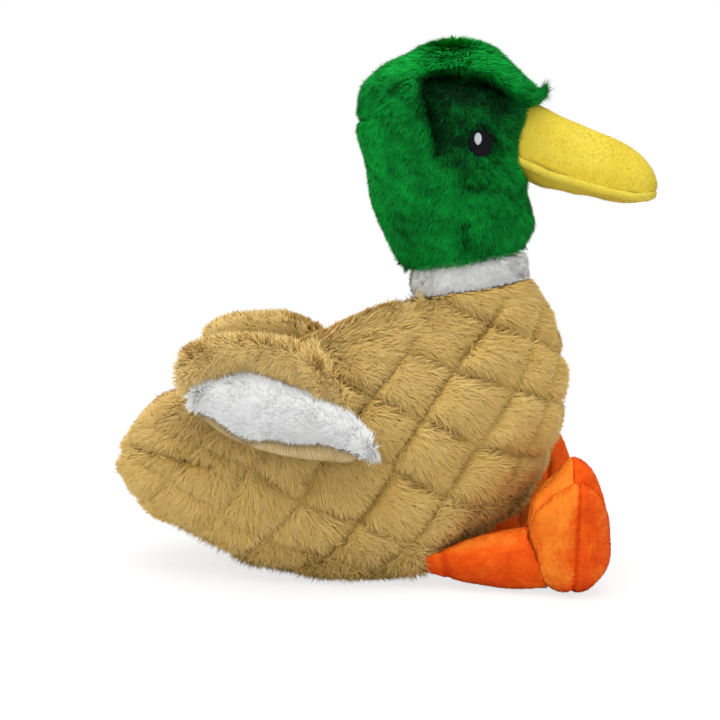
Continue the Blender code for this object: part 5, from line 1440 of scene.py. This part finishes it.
# The legs: cones of the same orange minky, sewn flat under the body, stuffed, and gathered at the
# ankle, where each meets the back of its foot in a crisp crease.
LEG_RADIUS = 13.5 * MM
LEG_GRID = (70, 90)
LEG_NAP = 13000
ANKLE_GAP = 0.5 * MM
LEG_CLEAR = 0.4 * MM
GATHER_DEPTH, GATHERS = 0.35 * MM, 17
TUCK_DEPTH, TUCK_PLACE, TUCK_WIDTH = 0.9 * MM, 0.17, 0.03
LEG_SETTLE = np.array([0.0, 0.0, 1.8 * MM])

# Each row: place along the leg, then shares of the radius: half width and half thickness
LEG_SHARES = (
    (0.00, 0.50, 0.10),
    (0.05, 0.66, 0.20),
    (0.15, 0.78, 0.38),
    (0.35, 0.90, 0.66),
    (0.60, 0.97, 0.88),
    (0.85, 1.00, 1.00),
    (1.00, 1.00, 1.00),
)

leg_heading = unit(ankle - hip)
leg_hinge = unit(np.cross(leg_heading, hip_normal))
leg_lift = np.cross(leg_hinge, leg_heading)
leg_length = np.linalg.norm(ankle - hip) - FOOT_BACK * 0.45 + FOOT_AHEAD
leg_table = np.array(LEG_SHARES, float)
leg_steps = np.linspace(0.0, 1.0, LEG_GRID[0]) ** 0.95
leg_row = through(leg_table, np.interp(leg_steps, leg_table[:, 0], np.arange(len(leg_table))))
leg_turn = round_turns(LEG_GRID[1])
leg_way = leg_steps[:, None]
gathers = GATHER_DEPTH * np.cos(GATHERS * leg_turn + 1.5 * np.sin(3 * leg_turn))
gathers = gathers * fade_in(leg_way, 0.82, 0.18)
tuck = -TUCK_DEPTH * bell(leg_way, TUCK_PLACE + 0.02 * np.sin(leg_turn), TUCK_WIDTH)
leg_wide = leg_row[:, 1:2] * LEG_RADIUS - 0.4 * MM + gathers + tuck
leg_thick = leg_row[:, 2:3] * (LEG_RADIUS + 0.7 * MM) - 0.3 * MM + gathers + tuck * 0.6
leg = (
    hip
    + leg_heading * (leg_length * leg_steps)[:, None, None]
    + leg_hinge * (leg_wide * np.cos(leg_turn))[..., None]
    + leg_lift * (leg_thick * np.sin(leg_turn))[..., None]
    - LEG_SETTLE * ease(leg_steps)[:, None, None]
)
leg = leg + unit(leg - leg.mean(1, keepdims=True)) * (waves(leg, 20 * MM, 91) * 0.4 * MM)[..., None]

# Where the leg would lie inside the body, it is pushed out to the body's nearest point
by_hip = (body_plain[..., 2] < 60 * MM) & (body_plain[..., 0] > 0) & (body_plain[..., 1] < 40 * MM)
near_hip, near_normal = body_plain[by_hip][::5], body_normal[by_hip][::5]
leg_flat = leg.reshape(-1, 3)
nearest = ((leg_flat**2).sum(1)[:, None] - 2 * leg_flat @ near_hip.T + (near_hip**2).sum(1))
nearest = nearest.argmin(1)
sunk = dot(leg_flat - near_hip[nearest], near_normal[nearest])
leg = (leg_flat + near_normal[nearest] * np.maximum(LEG_CLEAR - sunk, 0)).reshape(leg.shape)

# Where it would lie inside the foot, it is pushed back to just behind the heel
leg_x, leg_z = leg[..., 0] - ankle[0], leg[..., 2] - ankle[2]
heel_reach, heel_web = foot_reach(np.arctan2(leg_z, leg_x))
heel_share = np.clip(np.hypot(leg_x, leg_z) / heel_reach, 0, 1)
heel = np.sqrt(1 - heel_share**2) * (1 - heel_web * heel_share**2)
heel = foot_middle[1] + HEEL_FULLNESS * FOOT_BACK * heel + ANKLE_GAP
leg[..., 1] = np.maximum(leg[..., 1], np.where(heel_share < 0.999, heel, -1.0))
leg[..., 2] = np.maximum(leg[..., 2], FLOOR_GAP)
leg_outside = leg - leg.mean(1, keepdims=True)
# Painted light and shade on the leg: the upward-facing side is painted lighter as a painted sheen, and
# the tuck crease near the hip is painted darker as painted shade.
leg_sheen_and_tuck_shade = 0.18 * fade_in(facing(leg, leg_outside)[..., 2], 0.3, 0.6) - 0.05 + 0.2 * tuck / MM
leg_poles = np.stack([leg[0].mean(0), leg[-1].mean(0)])
leg_poles[1, 1] = leg[-1, :, 1].max()
for side, flip in SIDES:
    cover = closed("leg_cover_" + side, leg * flip, leg_poles * flip, leg_sheen_and_tuck_shade)
    nodes = ("leg_" + side, "leg_stuffing_" + side)
    dress(cover, orange_minky, side + "_leg", "orange_minky", nodes, fill=0.8)
    strands = nap("leg_nap_" + side, leg * flip, leg_outside * flip, leg_heading * flip, leg_sheen_and_tuck_shade,
                  LEG_NAP, 92)
    dress(strands, orange_nap, side + "_leg", "orange_minky")

visual_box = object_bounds()
boxes = {"cad": cad_box, "visual": visual_box}
boxes = {name: [list(map(float, corner)) for corner in box] for name, box in boxes.items()}
